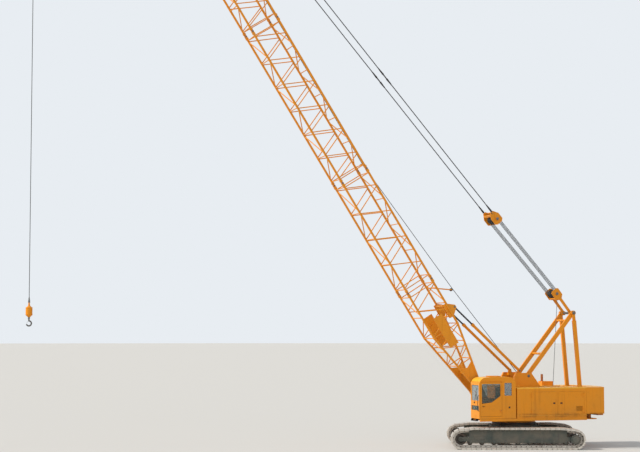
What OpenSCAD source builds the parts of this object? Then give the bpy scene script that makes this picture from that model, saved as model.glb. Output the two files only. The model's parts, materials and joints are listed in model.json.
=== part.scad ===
/* [Undercarriage] */
// Overall length of a track over its shoes
track_l = 5450; // [4900:10:6000]
// Height of a track over its shoes
track_h = 880; // [820:10:960]
// Width of a shoe
shoe_w = 760; // [640:10:860]
// Distance between the centre lines of the tracks
gauge = 3540; // [3400:10:3800]
// Number of shoes in one track
shoe_count = 56; // [48:1:58]
// Thickness of a shoe with its ribs
shoe_t = 65; // [50:1:75]
// Radius of the shoe path round the idler and the sprocket
end_r = 345; // [320:5:370]
// Height of the chain rails inside the shoes
rail_h = 95; // [80:1:105]
// Distance of a chain rail from the middle of its track
rail_y = 85; // [75:1:95]
// Width of a chain rail
rail_w = 50; // [36:1:60]
// Width of a side frame over its skirt plates
frame_w = 320; // [300:5:360]
// Thickness of a side frame's skirt plates
skirt_t = 22; // [16:1:30]
// Gap between the shoes and the edge of a skirt plate
skirt_gap = 40; // [30:1:60]
// Radius of a lower roller
roller_r = 105; // [90:1:115]
// Number of lower rollers in one side frame
roller_count = 9; // [7:1:10]
// Radius of a carrier roller
carrier_r = 70; // [60:1:76]
// Radius of the outer cover of a travel drive
drive_r = 190; // [160:5:220]
// Radius of a travel motor's housing
motor_r = 170; // [140:5:200]
// Length of a travel motor's housing
motor_l = 360; // [300:10:420]
// Turn of the tracks under the upperworks
track_turn = -18; // [-90:1:90]

/* [Car body] */
// Length of the centre box
car_l = 2000; // [1800:10:2200]
// Width of the centre box
car_w = 1900; // [1700:10:2100]
// Height of the underside of the centre box
car_z = 470; // [430:5:520]
// Height of the top of the centre box
car_top = 915; // [890:5:940]
// Distance of a cross beam from the slewing axis
beam_x = 930; // [800:10:1000]
// Width of a cross beam
beam_w = 380; // [300:10:460]
// Outer radius of the slewing ring
ring_r = 880; // [800:10:920]
// Height of one half of the slewing ring
ring_h = 95; // [80:1:110]

/* [Upper frame] */
// Height of the underside of the deck
deck_z = 1120; // [1100:5:1200]
// Thickness of the deck plate
deck_t = 40; // [25:1:60]
// Height of the deck girders
girder_h = 300; // [240:5:340]
// Distance of a deck girder from the middle
girder_y = 470; // [440:5:500]
// Width of the upperworks
upper_w = 3220; // [3100:10:3400]
// Radius swept by the tail
tail_r = 3730; // [3600:10:3900]
// Length of the counterweight from its tail to the wings' front
weight_l = 1170; // [1000:10:1300]
// Height of the top of the house
house_top = 2470; // [2400:10:2560]
// Thickness of the house's walls and doors
house_t = 40; // [25:1:50]

/* [Boom] */
// Distance of the boom foot pins ahead of the slewing axis
foot_x = 1310; // [1250:5:1360]
// Height of the boom foot pins
foot_z = 1750; // [1720:5:1800]
// Angle of the boom above level
boom_angle = 58; // [50:1:70]
// Length of the boom from its foot pins to its tip
boom_l = 34600; // [34000:50:35500]
// Length of the base section
base_l = 5750; // [5600:10:5900]
// Length of the first insert
insert_1_l = 5250; // [5000:10:5500]
// Length of the second insert
insert_2_l = 7100; // [6900:10:7300]
// Length of each of the two outer inserts
insert_3_l = 5400; // [5200:10:5600]
// Width between the chord centres
boom_w = 1180; // [1150:5:1200]
// Depth between the chord centres
boom_h = 1200; // [1100:5:1300]
// Outside diameter of a chord
chord_d = 90; // [76:1:96]
// Outside diameter of a lacing tube
lace_d = 42; // [34:1:46]
// Length of one bay of the side lacing
bay_l = 575; // [520:5:640]
// Distance between the middles of the foot ears
foot_w = 1040; // [1000:5:1060]
// Radius of the foot pins
foot_pin_r = 50; // [40:1:55]
// Radius of the pins that join the sections
joint_pin_r = 25; // [18:1:30]
// Radius of a head sheave at the bottom of its groove
sheave_r = 280; // [240:5:300]
// Radius of the hoist rope
rope_r = 14; // [10:1:16]
// Diameter of a pendant
pendant_d = 40; // [30:1:50]
// Distance of a pendant from the middle at the bridle
bridle_y = 420; // [380:5:440]

/* [Gantry and backstops] */
// Height of the gantry apex
apex_z = 5550; // [5400:10:5700]
// Distance of the gantry apex behind the slewing axis
apex_x = 2480; // [2400:10:2600]
// Distance of a front leg of the gantry from the middle
leg_y = 530; // [515:1:540]
// Depth of a front leg
leg_w = 170; // [140:5:190]
// Height of the lower pins of the backstops
stop_z = 3150; // [3100:5:3200]
// Height of the pins of the backstops on the boom
stop_top_z = 5790; // [5750:5:5850]
// Distance of a backstop from the middle
stop_y = 505; // [500:1:506]

/* [Cab] */
// Length of the cab
cab_l = 1600; // [1560:10:1640]
// Width of the cab
cab_w = 930; // [900:5:940]
// Gap between the cab and the brackets of the boom foot
cab_gap = 100; // [80:5:130]
// Distance of the front of the cab from the slewing axis
cab_x = 2180; // [2140:5:2240]
// Height of the cab's floor above the ground
cab_z = 1240; // [1220:5:1280]
// Height of the cab
cab_h = 1690; // [1640:5:1740]
// Thickness of the cab's walls and door
cab_t = 45; // [35:1:55]

/* [Hook] */
// Height of the hook's seat above the ground
hook_z = 5080; // [4600:10:5600]
// Radius of the hook's bow
hook_r = 95; // [85:1:110]

/* [Hidden] */
$fn = 24;
// Clearance between pieces that seat on each other
seat = 0.3;
// Clearance between pieces that move past each other
move = 5;
// Clearance of a pin in its bore
fit = 0.1;
// Overlap of cuts and of joined solids
lap = 1;

// Shared shapes

function lerp(a, b, t) = a + (b - a) * t;

// A round or many-sided bar from one point to another
module bar(a, b, d, sides = 6) {
  v = b - a;
  translate(a)
    rotate([0, acos(v[2] / norm(v)), atan2(v[1], v[0])])
      rotate([0, 0, 45])
        cylinder(h = norm(v), d = d, $fn = sides);
}

// A cylinder lying across the machine, centred on its place
module cross_rod(r, w, sides = 24) {
  rotate([90, 0, 0])
    cylinder(h = w, r = r, center = true, $fn = sides);
}

// A side outline of the machine given as [x, z] points, thickened across it
module side_plate(points, y, t) {
  translate([0, y, 0])
    across(t)
      polygon(points);
}

// Any side outline, thickened to both sides of the middle
module across(w) {
  rotate([90, 0, 0])
    translate([0, 0, -w / 2])
      linear_extrude(height = w)
        children();
}

// A wheel turned about its shaft across the machine; half a profile of [radius, side] points
module turned(half, sides = 48) {
  n = len(half) - 1;
  rotate([90, 0, 0])
    rotate_extrude($fn = sides)
      polygon(concat(half, [for (i = [n : -1 : 0]) [half[i][0], -half[i][1]]]));
}

// A rope sheave of radius r at the bottom of its groove
module sheave(r, w, hub) {
  lip = 22;
  web = w / 6;
  turned([
    [0, -w / 2], [hub, -w / 2], [hub, -web], [r - 40, -web], [r - 40, -w / 2 + 2],
    [r + lip, -w / 2 + 2], [r + lip, 6 - w / 2], [r, -w / 6],
  ]);
}

// A straight box-section leg between two [x, z] points; w is its depth and t its thickness
module leg(a, b, y, w, t) {
  d = b - a;
  translate([a[0], y, a[1]])
    rotate([0, atan2(d[0], d[1]), 0])
      translate([-w / 2, -t / 2, 0])
        cube([w, t, norm(d)]);
}

module box(lo, hi) {
  translate(lo)
    cube(hi - lo);
}

// A box whose y values are given for the left side; s is 1 for the left, -1 for the right
module side_box(s, lo, hi) {
  box([lo[0], s > 0 ? lo[1] : -hi[1], lo[2]], [hi[0], s > 0 ? hi[1] : -lo[1], hi[2]]);
}

// Track path: the shoes' inner faces run round four circles [x, z, radius]

end_x = track_l / 2 - end_r - shoe_t;
end_z = end_r + shoe_t;
top_r = 200;
top_x = end_x - 565;
path = [
  [end_x, end_z, end_r],
  [top_x, track_h - shoe_t - top_r, top_r],
  [-top_x, track_h - shoe_t - top_r, top_r],
  [-end_x, end_z, end_r],
];
function circle_at(i) = path[(i + 4) % 4];
// Direction of the outward normal of the run from circle i to the next
function run_angle(i) =
  let (a = circle_at(i), b = circle_at(i + 1), d = [b[0] - a[0], b[1] - a[1]])
  atan2(d[1], d[0]) - acos((a[2] - b[2]) / norm(d));
function wrap(i) =
  let (sweep = run_angle(i) - run_angle(i - 1))
  sweep < 0 ? sweep + 360 : sweep;
function arc_length(i) = circle_at(i)[2] * wrap(i) * PI / 180;
function run_length(i) =
  let (a = circle_at(i), b = circle_at(i + 1))
  sqrt(pow(b[0] - a[0], 2) + pow(b[1] - a[1], 2) - pow(a[2] - b[2], 2));
loop_length = arc_length(0) + arc_length(1) + arc_length(2) + arc_length(3)
  + run_length(0) + run_length(1) + run_length(2) + run_length(3);
shoe_pitch = loop_length / shoe_count;
// Place [x, z] and outward direction at a distance along the path
function on_path(s, i = 0) =
  let (
    c = circle_at(i),
    bend = arc_length(i),
    straight = run_length(i),
    a = s < bend ? run_angle(i - 1) + s / c[2] * 180 / PI : run_angle(i),
    along = s < bend ? 0 : s - bend
  )
  s > bend + straight && i < 3 ? on_path(s - bend - straight, i + 1)
  : [c[0] + c[2] * cos(a) - along * sin(a), c[1] + c[2] * sin(a) + along * cos(a), a];
// A profile of [along, out] points repeated for every shoe, whose pins lie on the path
function shoe_points(profile) = [
  for (k = [0 : shoe_count - 1])
    let (
      a = on_path(k * shoe_pitch),
      b = on_path((k + 1) * shoe_pitch),
      u = [b[0] - a[0], b[1] - a[1]] / norm([b[0] - a[0], b[1] - a[1]]),
      mid = [a[0] + b[0], a[1] + b[1]] / 2
    )
    for (q = profile)
      mid + q[0] * u + q[1] * [u[1], -u[0]],
];
// The path drawn in by d
function inner_path(d) = [
  for (i = [0 : 3], k = [0 : 6])
    let (c = circle_at(i), a = run_angle(i - 1) + wrap(i) * k / 6)
    [c[0] + (c[2] - d) * cos(a), c[1] + (c[2] - d) * sin(a)],
];

module track() {
  half = shoe_pitch / 2;
  web = 12;
  color("darkgray") {
    across(shoe_w)
      difference() {
        polygon(shoe_points([[6 - half, 0], [12 - half, shoe_t], [half - 12, shoe_t], [half - 6, 0]]));
        polygon(shoe_points([[6 - half, -web], [half - 6, -web]]));
      }
    for (y = [-rail_y, rail_y])
      translate([0, y, 0])
        across(rail_w)
          difference() {
            polygon(shoe_points([[6 - half, -web / 2], [half - 6, -web / 2]]));
            polygon(shoe_points([[0, -rail_h]]));
          }
  }
}

// Places its children under the slewing axis, turned with the tracks, in one track or the middle
module under(side = 0) {
  rotate([0, 0, track_turn])
    translate([0, side * gauge / 2, 0])
      children();
}

// Undercarriage

half_link = shoe_pitch / end_r * 90 / PI;
idler_r = (end_r * cos(half_link) - rail_h) * cos(half_link) - seat;
roller_z = shoe_t + rail_h + roller_r + seat;
// The main box of a side frame
frame_z = roller_z + roller_r + 30;
frame_top = track_h - shoe_t - rail_h - 2 * carrier_r - 10;
frame_x = end_x - idler_r - 60;
// The skirt plates with their forks for the end shafts
skirt_x = frame_x - 55;
skirt_y = frame_w / 2 - skirt_t / 2;
inner_w = frame_w - 2 * skirt_t - 2 * seat;
fork_h = 95;
end_shaft_r = 45;
end_shaft_w = frame_w + 30;
carrier_x = 900;
carrier_z = track_h - shoe_t - rail_h - carrier_r - seat;
carrier_shaft_r = 25;

module skirt() {
  difference() {
    union() {
      intersection() {
        polygon(inner_path(skirt_gap));
        translate([-skirt_x, roller_z])
          square([2 * skirt_x, track_h - roller_z]);
      }
      for (s = [-1, 1])
        translate([s * end_x, end_z])
          circle(r = fork_h, $fn = 48);
      translate([-end_x, end_z - fork_h + 5])
        square([2 * end_x, 2 * fork_h - 10]);
    }
    for (s = [-1, 1])
      translate([s * end_x, end_z])
        circle(r = end_shaft_r + fit, $fn = 48);
  }
}

module side_frame(side) {
  color("dimgray")
    under(side) {
      side_plate([
        [-frame_x, frame_z], [frame_x, frame_z], [frame_x, frame_top - 90],
        [frame_x - 180, frame_top], [180 - frame_x, frame_top], [-frame_x, frame_top - 90],
      ], 0, frame_w - skirt_t);
      for (y = [-skirt_y, skirt_y])
        translate([0, y, 0])
          across(skirt_t)
            skirt();
      // Brackets of the two carrier rollers
      for (x = [-carrier_x, carrier_x])
        difference() {
          box([x - 45, -30, frame_top - lap], [x + 45, 30, carrier_z + 40]);
          translate([x, 0, carrier_z])
            cross_rod(carrier_shaft_r + fit, 100);
        }
    }
}

// The idlers: hub, web and rim with a flange between the chain rails
module idlers() {
  color("dimgray")
    for (side = [-1, 1])
      under(side)
        translate([end_x, 0, end_z]) {
          turned([
            [0, -inner_w / 2], [85, -inner_w / 2], [85, -30], [150, -30], [160, -rail_y - rail_w / 2],
            [idler_r, -rail_y - rail_w / 2], [idler_r, rail_w / 2 - rail_y], [idler_r + 20, -40],
          ]);
          cross_rod(end_shaft_r, end_shaft_w, 48);
        }
}

module sprockets() {
  teeth = 11;
  color("dimgray")
    for (side = [-1, 1])
      under(side)
        translate([-end_x, 0, end_z]) {
          turned([
            [0, -inner_w / 2], [110, -inner_w / 2], [110, -60], [idler_r - 45, -60],
          ]);
          cross_rod(end_shaft_r, end_shaft_w, 48);
          across(2 * rail_y - rail_w - 20)
            polygon([
              for (k = [0 : teeth - 1], q = [[-9, -30], [-5, 20], [5, 20], [9, -30]])
                (idler_r + q[1]) * [cos(k * 360 / teeth + q[0]), sin(k * 360 / teeth + q[0])],
            ]);
        }
}

module rollers() {
  span = 2 * (end_x - idler_r - roller_r - 40);
  color("dimgray")
    for (side = [-1, 1])
      under(side) {
        for (k = [0 : roller_count - 1])
          translate([span * (k / (roller_count - 1) - 0.5), 0, roller_z]) {
            cross_rod(roller_r - 25, inner_w);
            for (y = [-rail_y, rail_y])
              translate([0, y, 0])
                cross_rod(roller_r, rail_w);
          }
        for (x = [-carrier_x, carrier_x])
          translate([x, 0, carrier_z]) {
            cross_rod(carrier_shaft_r, 2 * rail_y);
            for (y = [-rail_y, rail_y])
              translate([0, y, 0])
                cross_rod(carrier_r, rail_w);
          }
      }
}

// Travel drives: a low cover on the outer side, the motor's housing on the inner side
module travel_motors() {
  hub_w = 60;
  off = end_shaft_w / 2 + seat;
  color("dimgray")
    for (side = [-1, 1])
      under(side)
        translate([-end_x, 0, end_z]) {
          for (f = [[side, drive_r, shoe_w / 2 - off - hub_w], [-side, motor_r, motor_l]]) {
            translate([0, f[0] * (off + f[2] / 2), 0])
              cross_rod(f[1], f[2], 32);
            translate([0, f[0] * (off + f[2] + hub_w / 2 - lap), 0])
              cross_rod(f[1] * 0.65, hub_w, 32);
          }
        }
}

module car_body() {
  reach = gauge / 2 - frame_w / 2 - seat;
  cut = 350;
  hole_r = 330;
  color("dimgray")
    under()
      difference() {
        union() {
          translate([0, 0, car_z])
            linear_extrude(height = car_top - car_z)
              polygon([
                [-car_l / 2, cut - car_w / 2], [cut - car_l / 2, -car_w / 2],
                [car_l / 2 - cut, -car_w / 2], [car_l / 2, cut - car_w / 2],
                [car_l / 2, car_w / 2 - cut], [car_l / 2 - cut, car_w / 2],
                [cut - car_l / 2, car_w / 2], [-car_l / 2, car_w / 2 - cut],
              ]);
          for (x = [-beam_x, beam_x])
            box([x - beam_w / 2, -reach, frame_z + 10], [x + beam_w / 2, reach, frame_top - 10]);
          // Deepened roots of the cross beams
          for (x = [-beam_x, beam_x], s = [-1, 1])
            translate([x, 0, 0])
              rotate([0, 0, s > 0 ? 90 : -90])
                side_plate([
                  [car_w / 2 - cut, car_z], [reach - 300, frame_z + 11],
                  [reach - 300, frame_top - 11], [car_w / 2 - cut, car_top - 60],
                ], 0, beam_w - 60);
        }
        translate([0, 0, car_z - lap])
          cylinder(h = car_top - car_z + 2 * lap, r = hole_r, $fn = 48);
      }
}

ring_w = 150;
ring_z = car_top + seat;
module slew_ring_lower() {
  color("gray")
    translate([0, 0, ring_z])
      difference() {
        cylinder(h = ring_h, r = ring_r + 30, $fn = 96);
        translate([0, 0, -lap])
          cylinder(h = ring_h + 2 * lap, r = ring_r - ring_w, $fn = 96);
      }
}

// Upperworks

module slew_ring_upper() {
  z0 = ring_z + ring_h + seat;
  color("gray")
    translate([0, 0, z0])
      difference() {
        cylinder(h = deck_z - z0 - seat, r = ring_r, $fn = 96);
        translate([0, 0, -lap])
          cylinder(h = ring_h + 20, r = ring_r - ring_w, $fn = 96);
      }
}

ear_t = 70;
bracket_t = 30;
girder_end = tail_r - 430;
flange_w = 250;
flange_t = 25;
deck_w = 2000;
deck_top = deck_z + deck_t;
girder_top = deck_top + girder_h;
// Height of the side floors, on which the house and the cheeks stand
side_z = deck_z + 120;
floor_t = 10;
front_x = 1500;
// Winch drums [x, z, radius]
drums = [[-650, 2050, 230], [-1520, 1960, 210]];
drum_shaft_r = 60;
drum_wall_t = 30;

house_x0 = weight_l - tail_r;
house_x1 = cab_x - cab_l - 50;
house_y = upper_w / 2;

module upper_frame() {
  foot_root = foot_x - 400;
  out_t = 30;
  out_y = house_y - 40;
  sill_w = 60;
  sill_h = 100;
  color("orange") {
    difference() {
      box([-girder_end - 10, -deck_w / 2, deck_z], [front_x, deck_w / 2, deck_top]);
      translate([0, 0, deck_z - lap])
        cylinder(h = deck_t + 2 * lap, r = 300, $fn = 48);
    }
    // Two girders with flanges
    for (y = [-girder_y, girder_y]) {
      side_plate([
        [-girder_end, deck_top - lap], [foot_root, deck_top - lap],
        [foot_root, girder_top], [-girder_end, girder_top],
      ], y, 30);
      box([-girder_end, y - flange_w / 2, girder_top - flange_t], [foot_root, y + flange_w / 2, girder_top]);
    }
    for (s = [-1, 1]) {
      // Outriggers that carry the side floors
      for (x = [house_x0 + 60, -1900, -1250, -600, 300])
        side_box(s, [x - out_t / 2, girder_y, side_z - 80], [x + out_t / 2, out_y, side_z - floor_t]);
      side_box(s, [house_x0, girder_y, side_z - floor_t], [house_x1 + 20, house_y, side_z]);
      // Sill rails along both sides, on the left as far as the front of the cab
      side_box(s, [house_x0, house_y - sill_w, side_z - floor_t - sill_h],
        [s > 0 ? cab_x - 40 : house_x1 + 20, house_y + 15, side_z - floor_t + lap]);
      // Side plates of the winches
      difference() {
        side_plate([
          [drums[1][0] - 400, girder_top - lap], [drums[0][0] + 350, girder_top - lap],
          [drums[0][0] + 200, drums[0][1] + 160], [drums[0][0] - 150, drums[0][1] + 160],
          [drums[1][0] + 100, drums[1][1] + 120], [drums[1][0] - 200, drums[1][1] + 120],
        ], s * girder_y, drum_wall_t);
        for (d = drums)
          translate([d[0], s * girder_y, d[1]])
            cross_rod(drum_shaft_r + fit, 100, 48);
      }
    }
    // Beams under the cab
    for (y = [cab_y0 + 110, cab_y1 - 110])
      box([cab_back + 60, y - 50, deck_top - lap], [cab_x - 80, y + 50, cab_z - seat]);
    for (x = [cab_back + 320, cab_x - 200])
      box([x - 40, cab_y0 + 110, deck_top - lap], [x + 40, house_y - 10, cab_z - 12]);
    // Brackets of the boom foot pins
    for (s = [-1, 1], e = [-1, 1])
      difference() {
        side_plate([
          [foot_x - 700, deck_top - lap], [foot_x + 150, deck_top - lap],
          [foot_x + 110, foot_z], [foot_x + 75, foot_z + 85], [foot_x - 75, foot_z + 95],
          [foot_root, girder_top],
        ], s * (foot_w / 2) + e * (ear_t / 2 + move + bracket_t / 2), bracket_t);
        translate([foot_x, s * foot_w / 2, foot_z])
          cross_rod(foot_pin_r + fit, 300, 48);
      }
  }
}

module boom_foot_pins() {
  color("gray")
    for (s = [-1, 1])
      translate([foot_x, s * foot_w / 2, foot_z])
        cross_rod(foot_pin_r, ear_t + 2 * move + 2 * bracket_t + 40, 48);
}

// House

roof_t = 30;
wall_top = house_top - roof_t - seat;
inner_y = 760;
door_gap = 6;
// Door openings of the left side as [front, rear]; the right side has the same
door_spans = [[-100, -1250], [-1310, -2460]];
door_z0 = side_z + 120;
door_z1 = house_top - 160;
knuckle_r = 16;
knuckle_y = house_y + 22;

module house_side(s) {
  color("orange")
    difference() {
      union() {
        side_plate([
          [house_x0, side_z + seat], [house_x1, side_z + seat],
          [house_x1, wall_top], [house_x0, wall_top],
        ], s * (house_y - house_t / 2), house_t);
        // Front wall
        side_box(s, [house_x1 - house_t, inner_y, side_z + seat], [house_x1, house_y - house_t + lap, wall_top]);
        // Rear wall
        side_box(s, [house_x0, 200, girder_top + 30], [house_x0 + house_t, house_y - house_t + lap, wall_top]);
      }
      for (d = door_spans)
        side_box(s, [d[1], house_y - house_t - lap, door_z0], [d[0], house_y + lap, door_z1]);
    }
}

// A door with its hinge knuckles on the outer face; hinged at the front or the rear
module house_door(s, span, rear_hinge) {
  hinge_x = rear_hinge ? span[1] : span[0];
  slot_l = 300;
  color("orange") {
    difference() {
      side_box(s, [span[1] + door_gap, house_y - house_t, door_z0 + door_gap],
        [span[0] - door_gap, house_y, door_z1 - door_gap]);
      // Air slots of the rear doors
      if (rear_hinge)
        for (k = [0 : 4])
          translate([span[1] + 60 + slot_l / 2, s * house_y, door_z0 + 150 + k * 45])
            cube([slot_l, 200, 18], center = true);
      // Sunk latch at the free edge
      translate([rear_hinge ? span[0] - 130 : span[1] + 130, s * house_y, (door_z0 + door_z1) / 2])
        cube([110, 2 * 12, 70], center = true);
    }
    for (z = [door_z0 + 150, door_z1 - 150])
      translate([hinge_x, s * knuckle_y, z]) {
        cylinder(h = 120, r = knuckle_r, center = true);
        translate([rear_hinge ? 50 : -50, -s * 11, 0])
          cube([100, 22, 100], center = true);
      }
  }
}

module house_roof() {
  color("orange")
    difference() {
      union() {
        box([house_x0, -house_y, house_top - roof_t], [house_x1, house_y, house_top]);
        // Exhaust box over the engine
        box([-2200, -1300, house_top - lap], [-1700, -900, house_top + 180]);
      }
      // Opening over the winches and the boom's foot
      box([-2300, -430, house_top - roof_t - lap], [house_x1 + lap, 430, house_top + lap]);
      box([-1040, -inner_y, house_top - roof_t - lap], [house_x1 + lap, inner_y, house_top + lap]);
    }
}

module engine_block() {
  color("gray")
    box([-2400, -1350, side_z + seat], [-1350, 40 - inner_y, side_z + 900]);
}

// Plan outline of the tail, a round back ahead of which lies a straight front at x
module tail_slab(x, z0, z1, w = house_y) {
  a0 = asin(w / tail_r);
  translate([0, 0, z0])
    linear_extrude(height = z1 - z0)
      polygon(concat(
        [[x, -w], [x, w]],
        [for (k = [0 : 12]) let (a = lerp(180 - a0, 180 + a0, k / 12)) tail_r * [cos(a), sin(a)]]
      ));
}

wing_z = girder_top - 80;
pocket_l = 480;
module counterweight() {
  color("orange") {
    tail_slab(house_x0 - pocket_l, girder_top + seat, house_top);
    // Wings beside the feet of the rear legs
    for (s = [-1, 1])
      side_box(s, [-girder_end - 15 - lap, 800, wing_z], [house_x0 - move, house_y, house_top]);
    // Lower steps between and behind the girders
    tail_slab(-girder_end - 15, wing_z, girder_top + lap);
    tail_slab(-girder_end - 15, deck_z + 170, wing_z + lap, 1100);
  }
}

module winch_drums() {
  gap = girder_y - drum_wall_t / 2 - 20;
  color("dimgray")
    for (d = drums)
      translate([d[0], 0, d[1]]) {
        turned([
          [0, -gap], [d[2] - 60, -gap], [d[2] + 110, 30 - gap], [d[2] + 110, 55 - gap], [d[2], 60 - gap],
        ]);
        cross_rod(drum_shaft_r, 2 * girder_y + 40, 48);
      }
}

// Cab: side outline as [x, z], drawn in from the outside by t

cab_y0 = foot_w / 2 + ear_t / 2 + move + bracket_t + cab_gap;
cab_y1 = cab_y0 + cab_w;
cab_back = cab_x - cab_l;
cab_top = cab_z + cab_h;
front_r = 300;
back_r = 300;
function cab_outline(t) = concat(
  [[cab_back + t, cab_z + t], [cab_x - t, cab_z + t]],
  [for (k = [0 : 6])
    [cab_x - front_r + (front_r - t) * cos(k * 13.5), cab_top - front_r - 20 + (front_r - t) * sin(k * 13.5)]],
  [[(cab_x + cab_back) / 2, cab_top - t]],
  [for (k = [0 : 5])
    [cab_back + back_r + (back_r - t) * cos(100 + k * 16), cab_top - back_r - 10 + (back_r - t) * sin(100 + k * 16)]]
);

door_x0 = cab_x - 990;
door_x1 = cab_x - cab_t - 10;
cab_door_z0 = cab_z + 90;
cab_door_z1 = cab_z + 1480;
door_corner = 100;
cab_door_gap = 8;
// The door's outline, drawn in by g
function door_outline(g) = [
  [door_x0 + g, cab_door_z0 + g], [door_x1 - g, cab_door_z0 + g],
  [door_x1 - g, cab_door_z1 - door_corner], [door_x1 - 35 - g, cab_door_z1 - g], [door_x0 + g, cab_door_z1 - g],
];
// Windows of the cab's sides, front and back
pane_t = 8;
pane_in = 22;
door_pane = [
  [door_x0 + 65, cab_door_z1 - 75], [door_x0 + 65, cab_z + 916], [door_x0 + 442, cab_z + 658],
  [door_x1 - 57, cab_z + 605], [door_x1 - 57, cab_door_z1 - 120], [door_x1 - 80, cab_door_z1 - 75],
];
rear_pane = [[cab_back + 180, cab_z + 930], [door_x0 - 110, cab_z + 1440]];
right_pane = [[cab_back + 180, cab_z + 800], [door_x1 - 60, cab_z + 1405]];
front_panes = [[cab_z + 727, cab_z + 1355], [cab_z + 340, cab_z + 523]];
back_pane = [cab_z + 1240, cab_z + 1360];
front_post = 70;
back_post = 120;

module cab_shell() {
  color("orange")
    difference() {
      side_plate(cab_outline(0), (cab_y0 + cab_y1) / 2, cab_w);
      side_plate(cab_outline(cab_t), (cab_y0 + cab_y1) / 2, cab_w - 2 * cab_t);
      side_plate(door_outline(0), cab_y1, 2 * cab_t + lap);
      box([rear_pane[0][0], cab_y1 - cab_t - lap, rear_pane[0][1]],
        [rear_pane[1][0], cab_y1 + lap, rear_pane[1][1]]);
      box([right_pane[0][0], cab_y0 - lap, right_pane[0][1]],
        [right_pane[1][0], cab_y0 + cab_t + lap, right_pane[1][1]]);
      for (p = front_panes)
        box([cab_x - cab_t - lap, cab_y0 + front_post, p[0]], [cab_x + lap, cab_y1 - front_post, p[1]]);
      box([cab_back - lap, cab_y0 + back_post, back_pane[0]],
        [cab_back + cab_t + lap, cab_y1 - back_post, back_pane[1]]);
    }
}

module cab_glass() {
  color("lightblue", 0.4) {
    for (p = front_panes)
      box([cab_x - pane_in - pane_t, cab_y0 + front_post, p[0]], [cab_x - pane_in, cab_y1 - front_post, p[1]]);
    box([rear_pane[0][0], cab_y1 - pane_in - pane_t, rear_pane[0][1]],
      [rear_pane[1][0], cab_y1 - pane_in, rear_pane[1][1]]);
    box([right_pane[0][0], cab_y0 + pane_in, right_pane[0][1]],
      [right_pane[1][0], cab_y0 + pane_in + pane_t, right_pane[1][1]]);
    box([cab_back + pane_in, cab_y0 + back_post, back_pane[0]],
      [cab_back + pane_in + pane_t, cab_y1 - back_post, back_pane[1]]);
  }
}

seat_x = cab_x - 1250;
seat_l = 520;
seat_w = 480;
cushion_z = cab_z + 400;
module cab_seat() {
  y = (cab_y0 + cab_y1) / 2;
  color("black") {
    box([seat_x + 100, y - 130, cab_z + cab_t + seat], [seat_x + 400, y + 130, cushion_z]);
    box([seat_x, y - seat_w / 2, cushion_z], [seat_x + seat_l, y + seat_w / 2, cushion_z + 120]);
    side_plate([
      [seat_x, cushion_z + 119], [seat_x + 120, cushion_z + 119],
      [seat_x + 90, cushion_z + 750], [seat_x - 30, cushion_z + 750],
    ], y, seat_w - 20);
  }
}

module cab_door() {
  color("orange") {
    difference() {
      side_plate(door_outline(cab_door_gap), cab_y1 - cab_t / 2, cab_t);
      side_plate(door_pane, cab_y1, 2 * cab_t + lap);
      // Sunk handle
      box([door_x1 - 190, cab_y1 - 15, cab_z + 470], [door_x1 - 70, cab_y1 + lap, cab_z + 530]);
    }
    for (z = [cab_z + 300, cab_z + 1200])
      translate([door_x0, cab_y1 + 20, z]) {
        cylinder(h = 90, r = 14, center = true);
        translate([40, -10, 0])
          cube([80, 20, 70], center = true);
      }
  }
}

module cab_door_glass() {
  color("lightblue", 0.4)
    side_plate(door_pane, cab_y1 - pane_in - pane_t / 2, pane_t);
}

// Gantry

cheek_y = 660;
cheek_t = 120;
cheek_top = 3060;
leg_foot = [-380, 2930];
leg_t = 90;
leg_pin_r = 40;
apex_r = 50;
stop_pin_r = 26;
stop_ear_y = 43;
stop_ear_t = 16;

module gantry_cheeks() {
  color("orange")
    for (s = [-1, 1]) {
      difference() {
        side_plate([
          [-920, side_z + seat], [260, side_z + seat], [260, cheek_top - 150], [180, cheek_top],
          [-500, cheek_top], [-920, 2480],
        ], s * cheek_y, cheek_t);
        translate([leg_foot[0], s * cheek_y, leg_foot[1]])
          cross_rod(leg_pin_r + fit, 400);
      }
      // Stub and ears of the backstop
      side_box(s, [stop_x - 80, stop_y - stop_ear_y - stop_ear_t / 2, leg_foot[1]],
        [stop_x + 80, cheek_y - lap, cheek_top - 20]);
      for (e = [-1, 1])
        difference() {
          side_plate([
            [stop_x - 80, cheek_top - 21], [stop_x + 80, cheek_top - 21],
            [stop_x + 45, stop_z + 50], [stop_x - 45, stop_z + 50],
          ], s * stop_y + e * stop_ear_y, stop_ear_t);
          translate([stop_x, s * stop_y, stop_z])
            cross_rod(stop_pin_r + fit, 200);
        }
    }
}

module gantry_front_legs() {
  cheek_out = cheek_y + cheek_t / 2;
  color("orange")
    for (s = [-1, 1])
      difference() {
        union() {
          leg(leg_foot, [-apex_x, apex_z], s * leg_y, leg_w, leg_t);
          translate([leg_foot[0], s * leg_y, leg_foot[1]])
            cross_rod(leg_w / 2 + 10, leg_t, 48);
          translate([-apex_x, s * leg_y, apex_z])
            cross_rod(leg_w / 2 + 15, leg_t - 30, 48);
          translate([leg_foot[0], s * (leg_y + cheek_out) / 2, leg_foot[1]])
            cross_rod(leg_pin_r, cheek_out - leg_y);
        }
        translate([-apex_x, s * leg_y, apex_z])
          cross_rod(apex_r + fit, 200, 48);
      }
}

rear_leg_y = leg_y + 90;
rear_leg_t = 50;
rear_foot = [house_x0 - 250, girder_top + 60];
rear_apex = [-apex_x, apex_z];

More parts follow.
